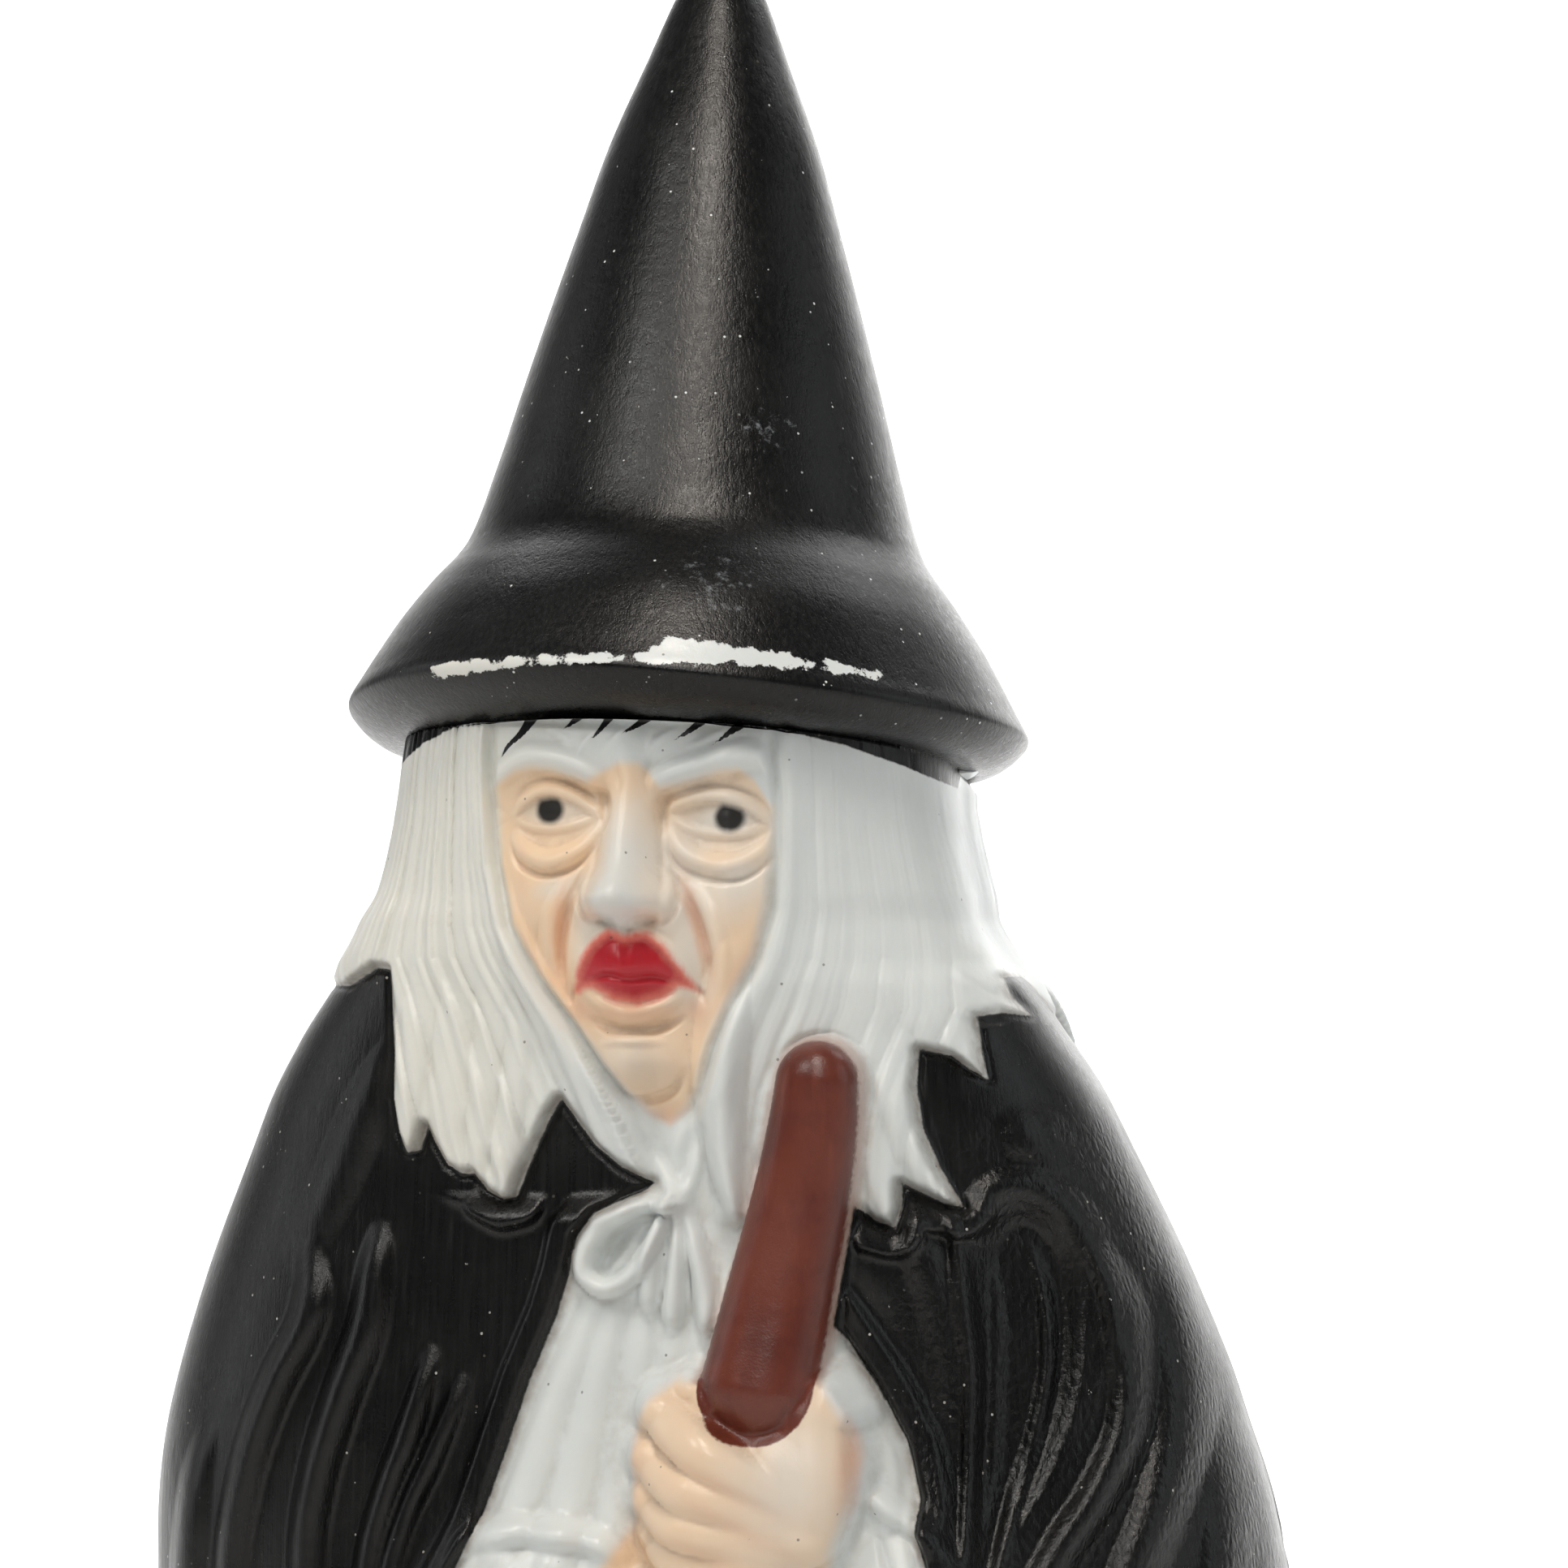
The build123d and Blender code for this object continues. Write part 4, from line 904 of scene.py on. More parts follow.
def paint_face(x, z, face):
    """Sprayed flesh colour, 0 to 1, and the warmer tints."""
    top = np.interp(x, [-47, -40, -34, -28, -22, -17, -12, -8, -2, 1, 4, 9, 15, 22, 27, 31, 35],
                    [610, 614, 615, 614, 612, 610.6, 613.5, 616, 616, 613, 609, 609.6, 611.4, 613.6, 614, 611, 604])
    body = ease((face + 1.0) / 5.0) * ease((top - z + 2.0) / 3.6)
    pale = soft_spots(x, z, [(-6, 586, 6, 17, 0.80, 0), (-8, 574, 9, 5, 0.45, 0), (-29, 602, 8, 3, 0.55, 0),
                             (22, 600, 8, 3, 0.65, 0), (20, 608, 10, 3.5, 0.45, -8), (28, 583, 7, 9, 0.65, 0),
                             (-28, 580, 8, 2.6, 0.50, 15), (12, 575, 6, 9, 0.45, 0), (12, 556, 6, 9, 0.55, 0),
                             (-17, 562, 4, 7, 0.45, 0), (-6, 531, 8, 6, 0.35, 0), (10, 590, 7, 6, 0.5, 0)])
    warm = soft_spots(x, z, [(-8, 610, 6, 4, 0.25, 0), (-38, 580, 5, 14, 0.3, 15), (-30, 588.5, 8, 2.6, 0.35, 0),
                             (22, 589, 7, 2.4, 0.35, 0), (-24, 545, 6, 8, 0.25, -30), (28, 566, 4, 12, 0.2, -20)])
    flesh = np.clip(body * (1 - np.minimum(pale, 0.88)) + warm * ease(face / 3), 0, 1)
    tint = soft_spots(x, z, [(-25.4, 572, 1.7, 7, 0.62, -10), (-26.0, 559, 1.5, 6, 0.50, 0),
                             (12.4, 576, 1.4, 6, 0.65, 16), (15.8, 564, 1.3, 6, 0.60, 14),
                             (-15.5, 572, 2.4, 1.6, 0.55, 0), (1.5, 571.5, 3.4, 1.6, 0.45, 0),
                             (-5, 544.0, 11, 1.8, 0.55, 0), (-22, 545, 2.4, 4, 0.30, 0),
                             (13.5, 545, 2.0, 4, 0.35, 0), (2.5, 510.5, 6, 4, 0.55, 0),
                             (-33, 557, 1.2, 9, 0.28, 28), (-38, 586, 1.5, 8, 0.20, 0),
                             (-21, 548, 1.6, 6, 0.25, 30), (26, 556, 1.4, 10, 0.25, -32)])
    return flesh, np.clip(tint, 0, 1) * ease((face + 0.5) / 2)


def line_art(x, z, lines, power):
    """The heights of strokes drawn on a flat ground."""
    sheet = Front(x, z, np.zeros_like(x))
    sheet.strokes(lines, power)
    return sheet.h


def seam_middle(y, n_front):
    """The y half way between the two parting lines, row by row."""
    return (y[:, :1] + y[:, n_front - 1:n_front]) / 2


def sculpt_front(x, z, plain, cape, face):
    """The front's heights with all its relief, and the depth inside the cane's paint."""
    f = Front(x, z, plain.copy())
    shape_cape(f, cape)
    shape_blouse(f, cape)
    shape_hair(f, cape, face)
    face_form = Front(x, z, np.zeros_like(plain))
    shape_face(face_form)
    f.h += face_form.h * ease((face + 0.5) / 3.5)
    # a groove where the face meets the hair, and the same round the cape's edge
    f.h -= 1.3 * np.exp(-((face + 0.2) / 1.3) ** 2) * ease((z - 512) / 10) * ease((628 - z) / 6)
    f.h -= 1.2 * np.exp(-((cape - 0.6) / 1.0) ** 2) * ease((z - 470) / 20)
    shape_bow(f)
    # the cane below the fist, then the arms and the fist over it, then the cane above
    bar = [(cx, cz, r, out) for (cx, cz), r, out in zip(CANE_AXIS, CANE_HALF, CANE_OUT)]
    far = -40.0
    cane = np.full_like(plain, far)
    i, depth = f.tube(bar[CANE_ABOVE_FIST:], 1.2, 3.4)
    cane[i] = np.where(z[i] < 372, depth, far)
    shape_arms(f)
    i, depth = f.tube(bar[:CANE_ABOVE_FIST], 1.2, 3.4)
    cane[i] = np.maximum(cane[i], depth)
    groove = np.exp(-((cane + 1.4) / 1.3) ** 2)
    f.h -= 1.4 * groove * ease((z - 425) / 20)
    shape_shoes(f)
    return f.h, cane


def brim_wave(r, angle):
    """The brim's slight waves and the droop of its sides, as a change of height."""
    wave = ease((r - 86) / 16) * (1.2 * np.sin(2 * angle + 0.6) + 0.8 * np.sin(3 * angle + 2.1))
    side = np.cos(angle)
    return wave - ease((r - 74) / 28) * (5.4 * side**2 + 1.2 * side)


def hat_black(x, z, above_rim, angle, front):
    """Depth inside the hat's black, which ends at the hairline in front and under the brim behind."""
    hairline = np.interp(x, [-92, -84, -74, -60, -47, -29, -9, 13, 38, 55, 70, 82, 92],
                         [616, 619, 624, 628.5, 630, 630.5, 631, 629, 626, 622, 616.5, 611, 609])
    level = np.where(front, z - hairline, above_rim + 6.0 - 0.5 * np.cos(angle * 2))
    return np.where(above_rim > 0.5, np.maximum(level, above_rim), level)


def front_black(x, z, cape):
    """Depth inside the front's black: the cape, the shoes and the wisps of fringe."""
    shoes = np.max([25 - np.hypot(x - toe, (z - 4) * 25 / 21) for toe in TOES], 0)
    wisps = line_art(x, z, FRINGE, 0.8)
    fringe = np.where(wisps > 0, (wisps - 0.42) * 2.4, OUTSIDE)
    return np.maximum(np.maximum(cape, shoes), fringe)


def front_colours(x, z, face, hand, cane):
    """Paint on the front: depths inside an edge are named d_ and are in mm, the others go from 0 to 1."""
    flesh, tint = paint_face(x, z, face)
    hand_soft = ease((hand + 2.5) / 4.0)
    hand_pale = soft_spots(x, z, [(44, 412, 10, 14, 0.5, 0), (36, 372, 14, 8, 0.3, 0)])
    hand_tint = soft_spots(x, z, [(60, 415, 2.2, 12, 0.8, 0), (-4, 412, 2.5, 14, 0.35, 0),
                                  (28, 398, 14, 1.8, 0.3, -30), (24, 410, 14, 1.8, 0.3, -30),
                                  (22, 388, 13, 1.8, 0.3, -25), (0, 436, 8, 2, 0.3, 30)])
    eyes = np.maximum(4.2 - np.hypot(x + 29.4, (z - 603.0) * 1.06), 4.2 - np.hypot(x - 23.6, (z - 600.4) * 1.04))
    lid = np.where(x < 0, 606.4 - 0.10 * np.abs(x + 29) ** 1.5, 604.2 - 0.10 * np.abs(x - 21) ** 1.5)
    return {
        "d_brown": np.where((hand > -0.5) & (z < 400), np.minimum(cane, -hand - 0.5), cane),
        "d_lips": inside_depth(x, z, LIPS),
        "d_eye": np.minimum(eyes, lid - z),
        "d_hand": hand,
        "flesh": np.maximum(flesh, hand_soft * (1 - hand_pale) * 0.95),
        "tint": np.clip(tint + hand_tint * ease((hand + 4) / 3), 0, 1),
    }


def rim_wear(x, y, z, r):
    """Where the paint is worn off the rim's front."""
    broad = np.interp(x, [-60, -10, 0, 8, 30, 62], [3.6, 3.4, 3.0, 7.0, 5.0, 3.2])
    rise = z + (y - HAT_Y) * math.sin(HAT_BACK) - np.interp(x, [-60, 0, 10, 60], [636.0, 636.5, 639.0, 636.0])
    rim = np.exp(-(rise / broad) ** 2) * ease((r - 92) / 6)
    across = np.interp(x, [-70, -60, -8, -1, 4, 9, 40, 66, 76], [0, 0.9, 0.85, 0.7, 0.8, 1.15, 1.0, 0.85, 0])
    return rim * across * (y < -60)


def sculpt_shell():
    """The outer skin's x, y and z grids, the marks for its paint and its painted shade, the front's columns and the
    trunk's rows.
    """
    x, y, z, s, angle, n_front = plain_form()
    n_trunk = int(np.argmax(s[:, 0] >= profile_lengths(row_table())[len(TRUNK) - 1]))
    front = np.arange(len(angle)) < n_front
    trunk = (np.arange(len(x)) < n_trunk)[:, None]
    # the front's relief, in the direction the mould opens, reaches a few rows in under the brim
    patch, back = np.s_[:n_trunk + 3, :n_front], np.s_[:, n_front:]
    shape = x[patch].shape
    fx, fz, plain = x[patch].ravel(), z[patch].ravel(), -y[patch].ravel()
    cape = np.maximum(inside_depth(fx, fz, CAPE_LEFT), inside_depth(fx, fz, CAPE_RIGHT))
    face = inside_depth(fx, fz, FACE)
    height, cane = sculpt_front(fx, fz, plain, cape, face)
    left, right = y[patch][:, :1], y[patch][:, -1:]
    away = ease((left + (right - left) * 0.5 - y[patch]) / 14.0).ravel()
    height = plain + (height - plain) * away
    y[patch] = -height.reshape(shape)
    # painted shade: the hollows of the relief are marked for darkening, and the face's soft shade strokes are added
    # to the same mark
    hollow_shade = np.zeros_like(x)
    hollow_shade[patch] = cavity_of((height - plain).reshape(shape), 4)
    hollow_shade[patch] += 2.4 * (line_art(fx, fz, FACE_SHADE_LINES, 1.0) * ease((face + 0.5) / 2)).reshape(shape)
    # the back's relief, pushed out from the middle
    rise, above_edge = sculpt_back(x[back], y[back], z[back], angle[n_front:])
    rise = np.where(trunk, rise, 0)
    dx, dy = x[back] - x.mean(1, keepdims=True), y[back] - seam_middle(y, n_front)
    length = np.maximum(np.hypot(dx, dy), 1e-6)
    x[back] += rise * dx / length
    y[back] += rise * dy / length
    # painted shade in the hollows of the back's folds
    hollow_shade[back] = cavity_of(rise, 3)
    r = np.hypot(x - HAT_X, y - HAT_Y)
    z += np.where(trunk, 0, brim_wave(r, angle))
    # the black, which stops short of the cane
    black = hat_black(x, z, s - s[n_trunk, 0], angle, front)
    black[patch] = np.maximum(black[patch], front_black(fx, fz, cape).reshape(shape))
    black[patch] = np.minimum(black[patch], np.minimum(-cane, 30).reshape(shape) - 0.8)
    black[back] = np.maximum(black[back], -above_edge)
    smudge = soft_spots(x, z, [(20, 668, 16, 14, 0.7, 0), (28, 718, 8, 9, 0.6, 0), (70, 690, 22, 12, 0.7, -40),
                               (88, 660, 12, 14, 0.6, 0)])
    crackled = ease((x - 60) / 15) * ease((520 - z) / 15) * ease((z - 300) / 60) * front
    marks = {"d_black": black, "wear": rim_wear(x, y, z, r), "smudge": smudge * (y < -20),
             "weave": crackled * ease(black / 6), "hollow_shade": np.clip(hollow_shade, -4, 4)}
    for name, values in front_colours(fx, fz, face, inside_depth(fx, fz, HAND), cane).items():
        marks[name] = np.full_like(x, OUTSIDE if name.startswith("d_") else 0.0)
        marks[name][patch] = values.reshape(shape)
    return x, y, z, marks, n_front, n_trunk


def inner_form(x, y, z, n_front):
    """The inner wall's grids, from the finished outer ones, kept clear of the deepest relief."""
    mid = x.mean(1, keepdims=True)
    half = np.maximum(np.abs(x - mid).max(1, keepdims=True), 1e-6)
    shrink = np.maximum(half - WALL - 0.2, 0) / half
    ix = mid + (x - mid) * shrink
    cy = seam_middle(y, n_front)
    iy = y.copy()
    front = -min_over(-y[:, :n_front], INNER_STEP)
    iy[:, :n_front] = np.minimum(front + WALL + 0.4, cy)
    back = min_over(y[:, n_front:], INNER_STEP)
    iy[:, n_front:] = np.maximum(back - WALL - 0.4, cy)
    iz = z + np.interp(z, [0, 6, 850, 880], [WALL, 0, 0, -4.5])
    return ix, iy, iz


def build_shell():
    """The four closed pieces of the skin, with the two holes cut in the back."""
    x, y, z, marks, n_front, n_trunk = sculpt_shell()
    flatten_pads(x, y, z, 0.0)
    ix, iy, iz = inner_form(x, y, z, n_front)
    flatten_pads(ix, iy, iz, WALL)
    (x, y, z), extra = add_floor((x, y, z), 0.0)
    (ix, iy, iz), _ = add_floor((ix, iy, iz), WALL)
    for name, grid in marks.items():
        level = FLOOR_BLACK if name == "d_black" else OUTSIDE if name.startswith("d_") else 0.0
        marks[name] = np.vstack([np.full((extra, grid.shape[1]), level), grid])
    split = n_trunk + extra
    front = list(range(n_front))
    back = [n_front - 1] + list(range(n_front, x.shape[1])) + [0]
    parts = [("body_front", slice(0, split + 1), front, INNER_STEP),
             ("body_back", slice(0, split + 1), back, BACK_INNER_STEP),
             ("hat_front", slice(split, None), front, INNER_STEP),
             ("hat_back", slice(split, None), back, INNER_STEP)]
    made = {}
    for name, rows, cols, step in parts:
        outer = np.stack([g[rows][:, cols] for g in (x, y, z)], 2)
        inner = picked(np.stack([g[rows][:, cols] for g in (ix, iy, iz)], 2), step)
        made[name] = closed_patch("witch_" + name, outer, inner, step,
                                  {k: v[rows][:, cols] for k, v in marks.items()})
    for hole in (PAD_LAMP, PAD_PLUG):
        cut_hole(made["body_back"], hole)
    return list(made.values())


def cut_hole(obj, hole):
    """Cuts a round hole through a pad and paints its edge black, but leaves its wall bare."""
    x, z, _, plane, r = hole
    bpy.ops.mesh.primitive_cylinder_add(vertices=96, radius=r * MM, depth=40 * MM, rotation=(math.radians(90), 0, 0),
                                        location=(x * MM, plane * MM, z * MM))
    cutter = bpy.context.object
    cut = obj.modifiers.new("hole", "BOOLEAN")
    cut.operation, cut.solver, cut.object = "DIFFERENCE", "MANIFOLD", cutter
    graph = bpy.context.evaluated_depsgraph_get()
    mesh = bpy.data.meshes.new_from_object(obj.evaluated_get(graph))
    obj.modifiers.clear()
    obj.data = mesh
    bpy.data.objects.remove(cutter)
    co = np.empty(len(mesh.vertices) * 3, np.float32)
    mesh.vertices.foreach_get("co", co)
    co = co.reshape(-1, 3) / MM
    ring = np.abs(np.hypot(co[:, 0] - x, co[:, 2] - z) - r) < 0.08
    ring &= co[:, 1] > plane - 12
    values = np.empty(len(co), np.float32)
    data = mesh.attributes["d_black"].data
    data.foreach_get("value", values)
    values[ring] = np.where(co[ring, 1] > plane - 0.6, 10.0, OUTSIDE)
    data.foreach_set("value", values)


# ---------------------------------------------------------------- materials


class Shader:
    """A material being built, with short names for the nodes it needs."""

    def __init__(self, name):
        self.material = bpy.data.materials.new(name)
        self.material.use_nodes = True
        self.tree = self.material.node_tree
        self.tree.nodes.clear()
        self.surface = self.tree.nodes.new("ShaderNodeBsdfPrincipled")
        out = self.tree.nodes.new("ShaderNodeOutputMaterial")
        self.tree.links.new(self.surface.outputs[0], out.inputs[0])
        self.place = self.tree.nodes.new("ShaderNodeTexCoord").outputs["Object"]

    def put(self, socket, value):
        if isinstance(value, (int, float)):
            socket.default_value = value
        elif isinstance(value, tuple):
            socket.default_value = value if len(value) == len(socket.default_value) else (*value, 1.0)
        else:
            self.tree.links.new(value, socket)

    def math(self, kind, a, b):
        node = self.tree.nodes.new("ShaderNodeMath")
        node.operation = kind
        self.put(node.inputs[0], a)
        self.put(node.inputs[1], b)
        return node.outputs[0]

    def add(self, a, b):
        return self.math("ADD", a, b)

    def times(self, a, b):
        return self.math("MULTIPLY", a, b)

    def less(self, a, b):
        return self.math("SUBTRACT", a, b)

    def step(self, value, low, high, to_low=0.0, to_high=1.0):
        node = self.tree.nodes.new("ShaderNodeMapRange")
        node.interpolation_type = "SMOOTHSTEP"
        for socket, v in zip(node.inputs, (value, low, high, to_low, to_high)):
            self.put(socket, v)
        return node.outputs[0]

    def mix(self, factor, a, b):
        node = self.tree.nodes.new("ShaderNodeMix")
        node.data_type = "RGBA"
        self.put(node.inputs[0], factor)
        self.put(node.inputs[6], a)
        self.put(node.inputs[7], b)
        return node.outputs[2]

    def attribute(self, name):
        node = self.tree.nodes.new("ShaderNodeAttribute")
        node.attribute_name = name
        return node.outputs["Fac"]

    def stretched(self, sx, sy, sz):
        node = self.tree.nodes.new("ShaderNodeMapping")
        self.put(node.inputs[0], self.place)
        node.inputs["Scale"].default_value = (sx, sy, sz)
        return node.outputs[0]

    def noise(self, scale, detail, rough, place=None):
        node = self.tree.nodes.new("ShaderNodeTexNoise")
        self.put(node.inputs["Vector"], place or self.place)
        node.inputs["Scale"].default_value = scale
        node.inputs["Detail"].default_value = detail
        node.inputs["Roughness"].default_value = rough
        return node.outputs[0]

    def cells(self, scale, feature="DISTANCE_TO_EDGE", place=None):
        node = self.tree.nodes.new("ShaderNodeTexVoronoi")
        node.feature = feature
        self.put(node.inputs["Vector"], place or self.place)
        node.inputs["Scale"].default_value = scale
        return node.outputs["Distance"]

    def xyz(self):
        node = self.tree.nodes.new("ShaderNodeSeparateXYZ")
        self.put(node.inputs[0], self.place)
        return node.outputs

    def bump(self, height, distance, strength, before=None):
        node = self.tree.nodes.new("ShaderNodeBump")
        self.put(node.inputs["Height"], height)
        node.inputs["Distance"].default_value = distance
        node.inputs["Strength"].default_value = strength
        if before is not None:
            self.put(node.inputs["Normal"], before)
        return node.outputs[0]

    def finish(self, colour, roughness, normal=None, **more):
        self.put(self.surface.inputs["Base Color"], colour)
        self.put(self.surface.inputs["Roughness"], roughness)
        if normal is not None:
            self.put(self.surface.inputs["Normal"], normal)
        for key, value in more.items():
            self.put(self.surface.inputs[key.replace("_", " ")], value)
        return self.material


def painted_plastic():
    """Translucent white polyethylene with sprayed paint, all from the marks on the shell."""
    m = Shader("painted_polyethylene")
    place = m.xyz()
    ragged = m.noise(420, 4, 0.65)
    broad = m.noise(28, 4, 0.55)
    streak = m.noise(1.0, 3, 0.6, m.stretched(760, 760, 9))
    streak_fine = m.noise(1.0, 2, 0.6, m.stretched(2100, 2100, 26))
    centred = m.less(ragged, 0.5)
    d_black = m.add(m.attribute("d_black"), m.times(centred, 0.9))
    black = m.step(d_black, -0.3, 0.35)
    # worn patches, chips and pinholes let the white through
    wear = m.attribute("wear")
    worn = m.step(m.add(m.noise(130, 5, 0.7), m.times(wear, 0.62)), 0.93, 0.99)
    chip_mask = m.step(m.noise(300, 3, 0.6), 0.745, 0.765)
    pin = m.step(m.cells(210, "F1"), 0.105, 0.07)
    pin = m.times(pin, m.step(m.noise(60, 2, 0.5), 0.56, 0.62))
    smudge = m.attribute("smudge")
    patchy = m.step(m.add(m.noise(240, 5, 0.75), m.times(smudge, 0.30)), 0.72, 0.92)
    smudged = m.times(patchy, m.step(smudge, 0.1, 0.5))
    lost = m.math("MAXIMUM", worn, m.math("MAXIMUM", chip_mask, pin))
    black = m.times(black, m.less(1.0, lost))
    # white plastic with a little cloudiness, and painted shade and grime darkening the hollows
    hollow_shade = m.attribute("hollow_shade")
    white = m.mix(m.step(broad, 0.35, 0.7), (0.775, 0.81, 0.80), (0.73, 0.765, 0.76))
    # painted light: the white is made warmer on the upper -X side, as if lit from that side
    painted_light_side = m.times(m.step(place[0], 0.0, -0.06), m.step(place[2], 0.45, 0.5))
    white = m.mix(m.times(painted_light_side, 0.75), white, (0.82, 0.81, 0.74))
    crease_shade_and_grime = m.times(m.step(hollow_shade, 0.15, 1.7), m.step(m.noise(160, 4, 0.6), 0.3, 0.75))
    white = m.mix(m.times(crease_shade_and_grime, 0.30), white, (0.44, 0.40, 0.34))
    # overspray beside the black edges of the cape
    near = m.step(m.attribute("d_black"), -3.4, 0.1)
    near = m.times(near, m.times(m.step(place[2], 0.606, 0.585), m.step(m.noise(190, 4, 0.65), 0.25, 0.7, 0.35, 1.0)))
    white = m.mix(m.times(near, 0.78), white, (0.235, 0.195, 0.155))
    # flesh, warm tints, lips, eyes
    flesh_soft = m.times(m.attribute("flesh"), m.step(m.noise(90, 3, 0.55), 0.1, 0.5, 0.85, 1.0))
    colour = m.mix(m.times(flesh_soft, 0.92), white, (0.90, 0.675, 0.46))
    # painted shade and grime darken the flesh paint's hollows as well
    colour = m.mix(m.times(m.times(crease_shade_and_grime, flesh_soft), 0.34), colour, (0.40, 0.27, 0.17))
    tint = m.times(m.attribute("tint"), m.step(m.noise(330, 3, 0.6), 0.2, 0.6, 0.7, 1.0))
    colour = m.mix(m.times(tint, 0.62), colour, (0.80, 0.36, 0.20))
    soft_edge = m.times(m.less(m.noise(260, 3, 0.6), 0.5), 2.2)
    lip_in = m.add(m.attribute("d_lips"), soft_edge)
    colour = m.mix(m.step(lip_in, -1.6, 1.4), colour, (0.80, 0.22, 0.16))
    colour = m.mix(m.step(lip_in, 0.0, 4.0), colour, (0.52, 0.016, 0.028))
    eye_in = m.add(m.attribute("d_eye"), m.times(soft_edge, 0.3))
    colour = m.mix(m.step(eye_in, -1.4, 1.2), colour, (0.022, 0.020, 0.018))
    # the cane, with its sprayed outline, then the black over all
    d_brown = m.add(m.attribute("d_brown"), m.times(centred, 1.0))
    outline = m.times(m.step(d_brown, -3.2, 0.2), m.step(m.attribute("d_hand"), 0.8, -0.6))
    colour = m.mix(m.times(outline, 0.62), colour, (0.36, 0.15, 0.085))
    brown = m.mix(m.step(m.noise(45, 4, 0.6), 0.35, 0.7), (0.160, 0.036, 0.020), (0.105, 0.022, 0.014))
    brown = m.mix(m.times(m.step(m.noise(1.0, 4, 0.6, m.stretched(190, 190, 30)), 0.52, 0.75), 0.5), brown,
                  (0.225, 0.055, 0.030))
    scratch = m.step(m.noise(1.0, 5, 0.7, m.stretched(260, 260, 75)), 0.715, 0.74)
    brown = m.mix(m.times(scratch, 0.8), brown, (0.62, 0.46, 0.40))
    is_brown = m.step(d_brown, -0.35, 0.35)
    colour = m.mix(is_brown, colour, brown)
    ink = m.mix(m.step(broad, 0.4, 0.75), (0.0022, 0.0023, 0.0024), (0.0050, 0.0050, 0.0049))
    ink = m.mix(m.times(m.step(streak, 0.55, 0.8), 0.45), ink, (0.015, 0.015, 0.0147))
    ink = m.mix(smudged, ink, (0.20, 0.215, 0.23))
    colour = m.mix(black, colour, ink)
    # dark specks
    speck = m.step(m.cells(95, "F1"), 0.050, 0.035)
    colour = m.mix(m.times(speck, 0.65), colour, (0.10, 0.085, 0.07))
    dark_paint = m.math("MAXIMUM", black, is_brown)
    rough_ink = m.step(m.add(m.times(streak, 0.6), m.times(broad, 0.4)), 0.3, 0.72, 0.24, 0.40)
    rough_white = m.step(broad, 0.3, 0.7, 0.30, 0.42)
    roughness = m.add(m.times(black, rough_ink), m.times(m.less(1.0, black), rough_white))
    # die lines, paint texture and the crackled cloth
    lines = m.times(streak, m.step(place[2], 0.44, 0.70, 0.6, 1.0))
    height = m.add(m.times(lines, 0.5), m.times(streak_fine, 0.26))
    normal = m.bump(m.times(height, m.add(m.times(black, 0.85), 0.15)), 0.00035, 0.75)
    normal = m.bump(m.times(m.noise(1500, 2, 0.6), m.add(m.times(dark_paint, 0.8), 0.2)), 0.00012, 0.6, normal)
    crackle = m.add(m.cells(330, place=m.stretched(1.0, 1.0, 0.65)), m.times(m.noise(520, 3, 0.6), 0.5))
    normal = m.bump(m.times(crackle, m.attribute("weave")), 0.0006, 0.6, normal)
    normal = m.bump(m.noise(170, 3, 0.5), 0.0006, 0.28, normal)
    normal = m.bump(m.less(1.0, lost), 0.0001, 0.5, normal)
    see = m.times(m.less(1.0, dark_paint), 0.45)
    m.surface.subsurface_method = "RANDOM_WALK"
    m.surface.inputs["Subsurface Radius"].default_value = (1.0, 0.85, 0.7)
    m.surface.inputs["Subsurface Scale"].default_value = 0.0022
    m.surface.inputs["IOR"].default_value = 1.5
    shine = m.less(0.5, m.times(black, 0.1))
    return m.finish(colour, roughness, normal, Subsurface_Weight=see, Specular_IOR_Level=shine)


def plain(name, colour, other, roughness, metal=0.0, scale=90, depth=0.0002, lines=None, spread=0.10, **more):
    """A worn surface: two colours mixed by noise, uneven gloss, fine bumps and specks of dirt."""
    m = Shader(name)
    place = m.stretched(*lines) if lines else None
    grain = m.noise(1.0 if lines else scale * 6, 3, 0.6, place)
    patch = m.noise(scale, 5, 0.6)
    tone = m.mix(m.step(patch, 0.35, 0.68), colour, other)
    dirt = m.step(m.noise(scale * 2.3, 5, 0.7), 0.62, 0.75)
    tone = m.mix(m.times(dirt, 0.35), tone, tuple(0.35 * c for c in other))
    uneven = m.step(m.add(m.times(patch, 0.6), m.times(grain, 0.4)), 0.3, 0.7, roughness - spread * 0.5,
                    roughness + spread)
    normal = m.bump(grain, depth, 0.6)
    normal = m.bump(patch, depth * 3, 0.3, normal)
    m.surface.inputs["Metallic"].default_value = metal
    return m.finish(tone, uneven, normal, **more)


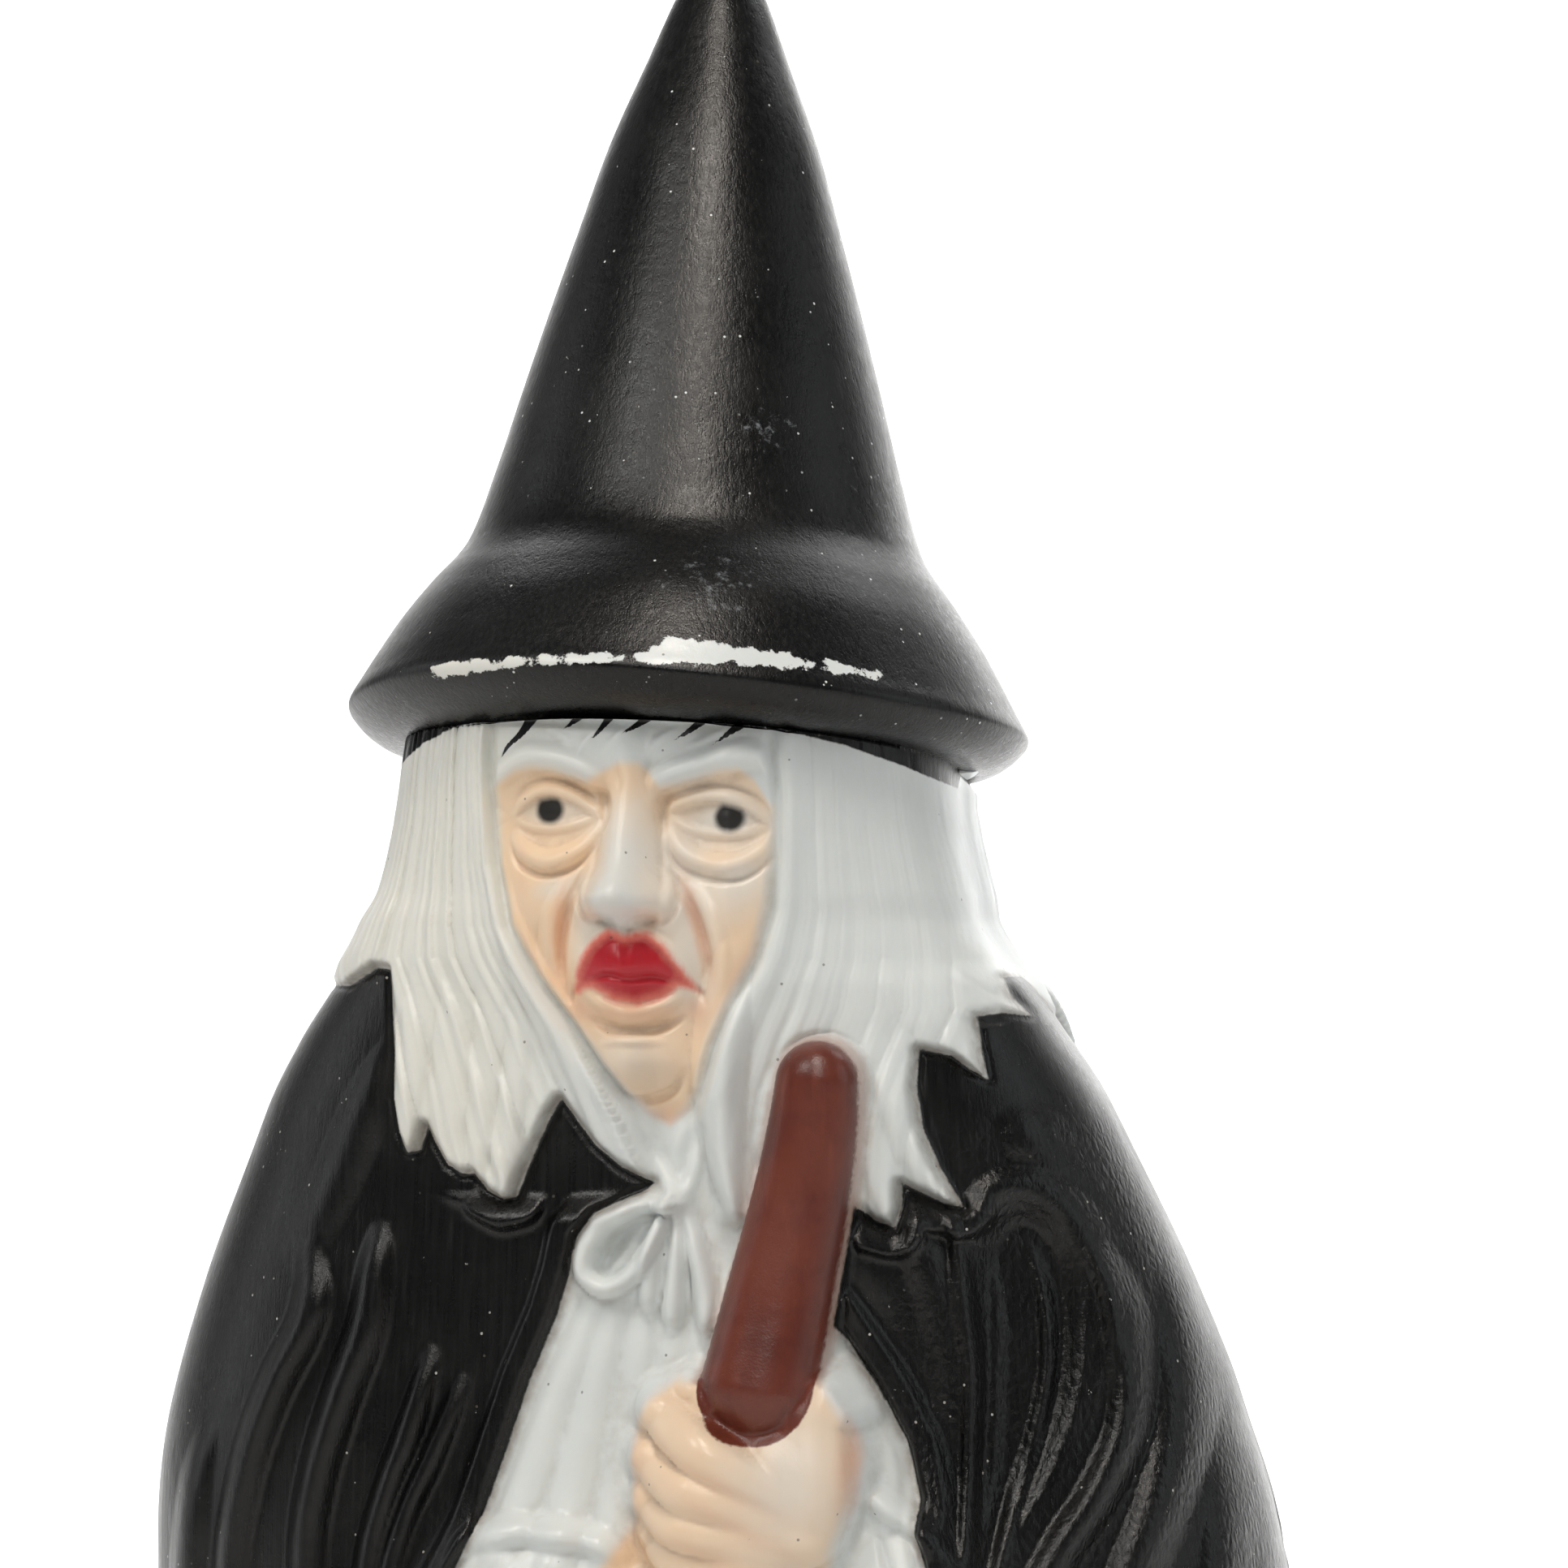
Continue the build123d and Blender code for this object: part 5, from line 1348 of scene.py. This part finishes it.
def make_materials():
    return {
        "painted_shell": painted_plastic(),
        "white_plastic": plain("white_moulding", (0.74, 0.74, 0.71), (0.66, 0.655, 0.61), 0.38, scale=70),
        "black_rubber": plain("black_rubber", (0.018, 0.018, 0.018), (0.034, 0.033, 0.031), 0.66, scale=160),
        "phenolic": plain("brown_phenolic", (0.030, 0.014, 0.009), (0.052, 0.024, 0.014), 0.28, scale=140),
        "brass": plain("screw_brass", (0.60, 0.42, 0.17), (0.42, 0.27, 0.11), 0.30, 1.0, 120, lines=(60, 1500, 60)),
        "fibre_sleeve": plain("grey_fibre", (0.20, 0.17, 0.14), (0.14, 0.12, 0.10), 0.82, scale=220, depth=0.0004),
        "zinc_steel": plain("zinc_steel", (0.62, 0.61, 0.57), (0.48, 0.47, 0.42), 0.34, 1.0, 150),
        "frosted_glass": plain("frosted_glass", (0.93, 0.93, 0.90), (0.88, 0.88, 0.84), 0.30, scale=40, depth=0.00005,
                               Transmission_Weight=0.55),
        "clear_glass": plain("clear_glass", (0.95, 0.96, 0.95), (0.90, 0.92, 0.91), 0.06, scale=60, depth=0.00003,
                             spread=0.05, Transmission_Weight=0.9),
        "cap_aluminium": plain("cap_aluminium", (0.80, 0.80, 0.79), (0.66, 0.66, 0.65), 0.33, 1.0, 120,
                               lines=(40, 1600, 40)),
        "black_glass": plain("black_glass", (0.010, 0.010, 0.013), (0.022, 0.022, 0.026), 0.12, scale=200),
        "solder": plain("solder", (0.55, 0.55, 0.54), (0.38, 0.38, 0.37), 0.42, 1.0, 260, depth=0.0004),
        "nickel_wire": plain("nickel_wire", (0.60, 0.58, 0.54), (0.50, 0.47, 0.42), 0.32, 1.0, 300),
        "tungsten": plain("tungsten", (0.23, 0.22, 0.21), (0.16, 0.15, 0.14), 0.48, 1.0, 600),
    }


# ---------------------------------------------------------------- the rest of the scene


def area_light(name, place, aim, size, watts, colour=(1, 1, 1)):
    """A rectangular lamp at a place in metres, turned to its aim."""
    data = bpy.data.lights.new(name, "AREA")
    data.shape, data.size, data.size_y = "RECTANGLE", size[0], size[1]
    data.energy, data.color = watts, colour
    lamp = bpy.data.objects.new(name, data)
    bpy.context.scene.collection.objects.link(lamp)
    lamp.location = place
    lamp.rotation_euler = (Vector(aim) - Vector(place)).to_track_quat("-Z", "Y").to_euler()


def studio():
    """A pale sweep, the lamps, and the camera where the photograph was taken from."""
    floor = bpy.data.meshes.new("floor")
    profile = [(-6.0, 0.0), (2.8, 0.0), (3.4, 0.08), (3.9, 0.35), (4.2, 0.9), (4.3, 5.4)]
    half_width, gap = 7.0, 0.0005       # the gap keeps the sweep just clear of the base
    rows = [(side * half_width, y, z - gap) for y, z in profile for side in (-1, 1)]
    faces = [(2 * k, 2 * k + 1, 2 * k + 3, 2 * k + 2) for k in range(len(profile) - 1)]
    floor.from_pydata(rows, [], faces)
    for face in floor.polygons:
        face.use_smooth = True
    sweep = bpy.data.objects.new("floor", floor)
    bpy.context.scene.collection.objects.link(sweep)
    m = Shader("pale_paper")
    tone = m.mix(m.step(m.noise(6, 4, 0.5), 0.3, 0.7), (0.86, 0.86, 0.855), (0.83, 0.83, 0.825))
    gloss = m.step(m.noise(40, 3, 0.5), 0.2, 0.8, 0.7, 0.85)
    sweep.data.materials.append(m.finish(tone, gloss, m.bump(m.noise(300, 3, 0.6), 0.0002, 0.3)))
    area_light("key", (-1.1, -1.9, 2.4), (0, 0, 0.5), (0.8, 0.8), 19, (1.0, 0.985, 0.95))
    area_light("front", (0.45, -2.6, 2.1), (0, 0, 0.6), (0.5, 0.9), 15, (1.0, 0.97, 0.94))
    area_light("hat_glow", (0.30, -1.62, 3.1), (0, 0, 0.76), (0.42, 1.1), 34, (1.0, 0.92, 0.84))
    area_light("left", (-2.4, 0.0, 1.2), (0, 0, 0.5), (1.0, 1.9), 6, (0.97, 0.98, 1.0))
    area_light("right", (2.3, -0.1, 1.3), (0, 0, 0.5), (1.2, 1.9), 6, (0.93, 0.975, 1.0))
    area_light("top", (0.1, 1.8, 3.2), (0, 0.1, 0.6), (4.2, 1.4), 48)
    area_light("wall", (0.0, 2.3, 2.8), (0, 4.3, 0.8), (4.6, 1.0), 235)
    world = bpy.data.worlds.new("studio")
    world.use_nodes = True
    world.node_tree.nodes["Background"].inputs[0].default_value = (1.0, 1.0, 1.0, 1)
    world.node_tree.nodes["Background"].inputs[1].default_value = 0.10
    bpy.context.scene.world = world
    bpy.context.scene.view_settings.view_transform = "Standard"
    data = bpy.data.cameras.new("view")
    data.lens, data.sensor_width = 100, 36
    data.dof.use_dof = False
    camera = bpy.data.objects.new("view", data)
    # the photograph's view: 10 degrees from the right and a little from below
    camera.location = (0.25878, -1.37597, 0.555)
    camera.rotation_euler = (math.radians(92.5), 0, math.radians(10))
    bpy.context.scene.collection.objects.link(camera)
    bpy.context.scene.camera = camera


MATERIALS = make_materials()
for piece in build_shell():
    piece.data.materials.clear()
    piece.data.materials.append(MATERIALS["painted_shell"])
    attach(piece, "shell")
    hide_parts(*frame["record"]["behaviour"]["bodies"]["shell"])
for part in frame["record"]["subparts"]:
    node = frame["nodes"][part["node"]]
    node.data.materials.clear()
    node.data.materials.append(MATERIALS[part["material_slot"]])
studio()
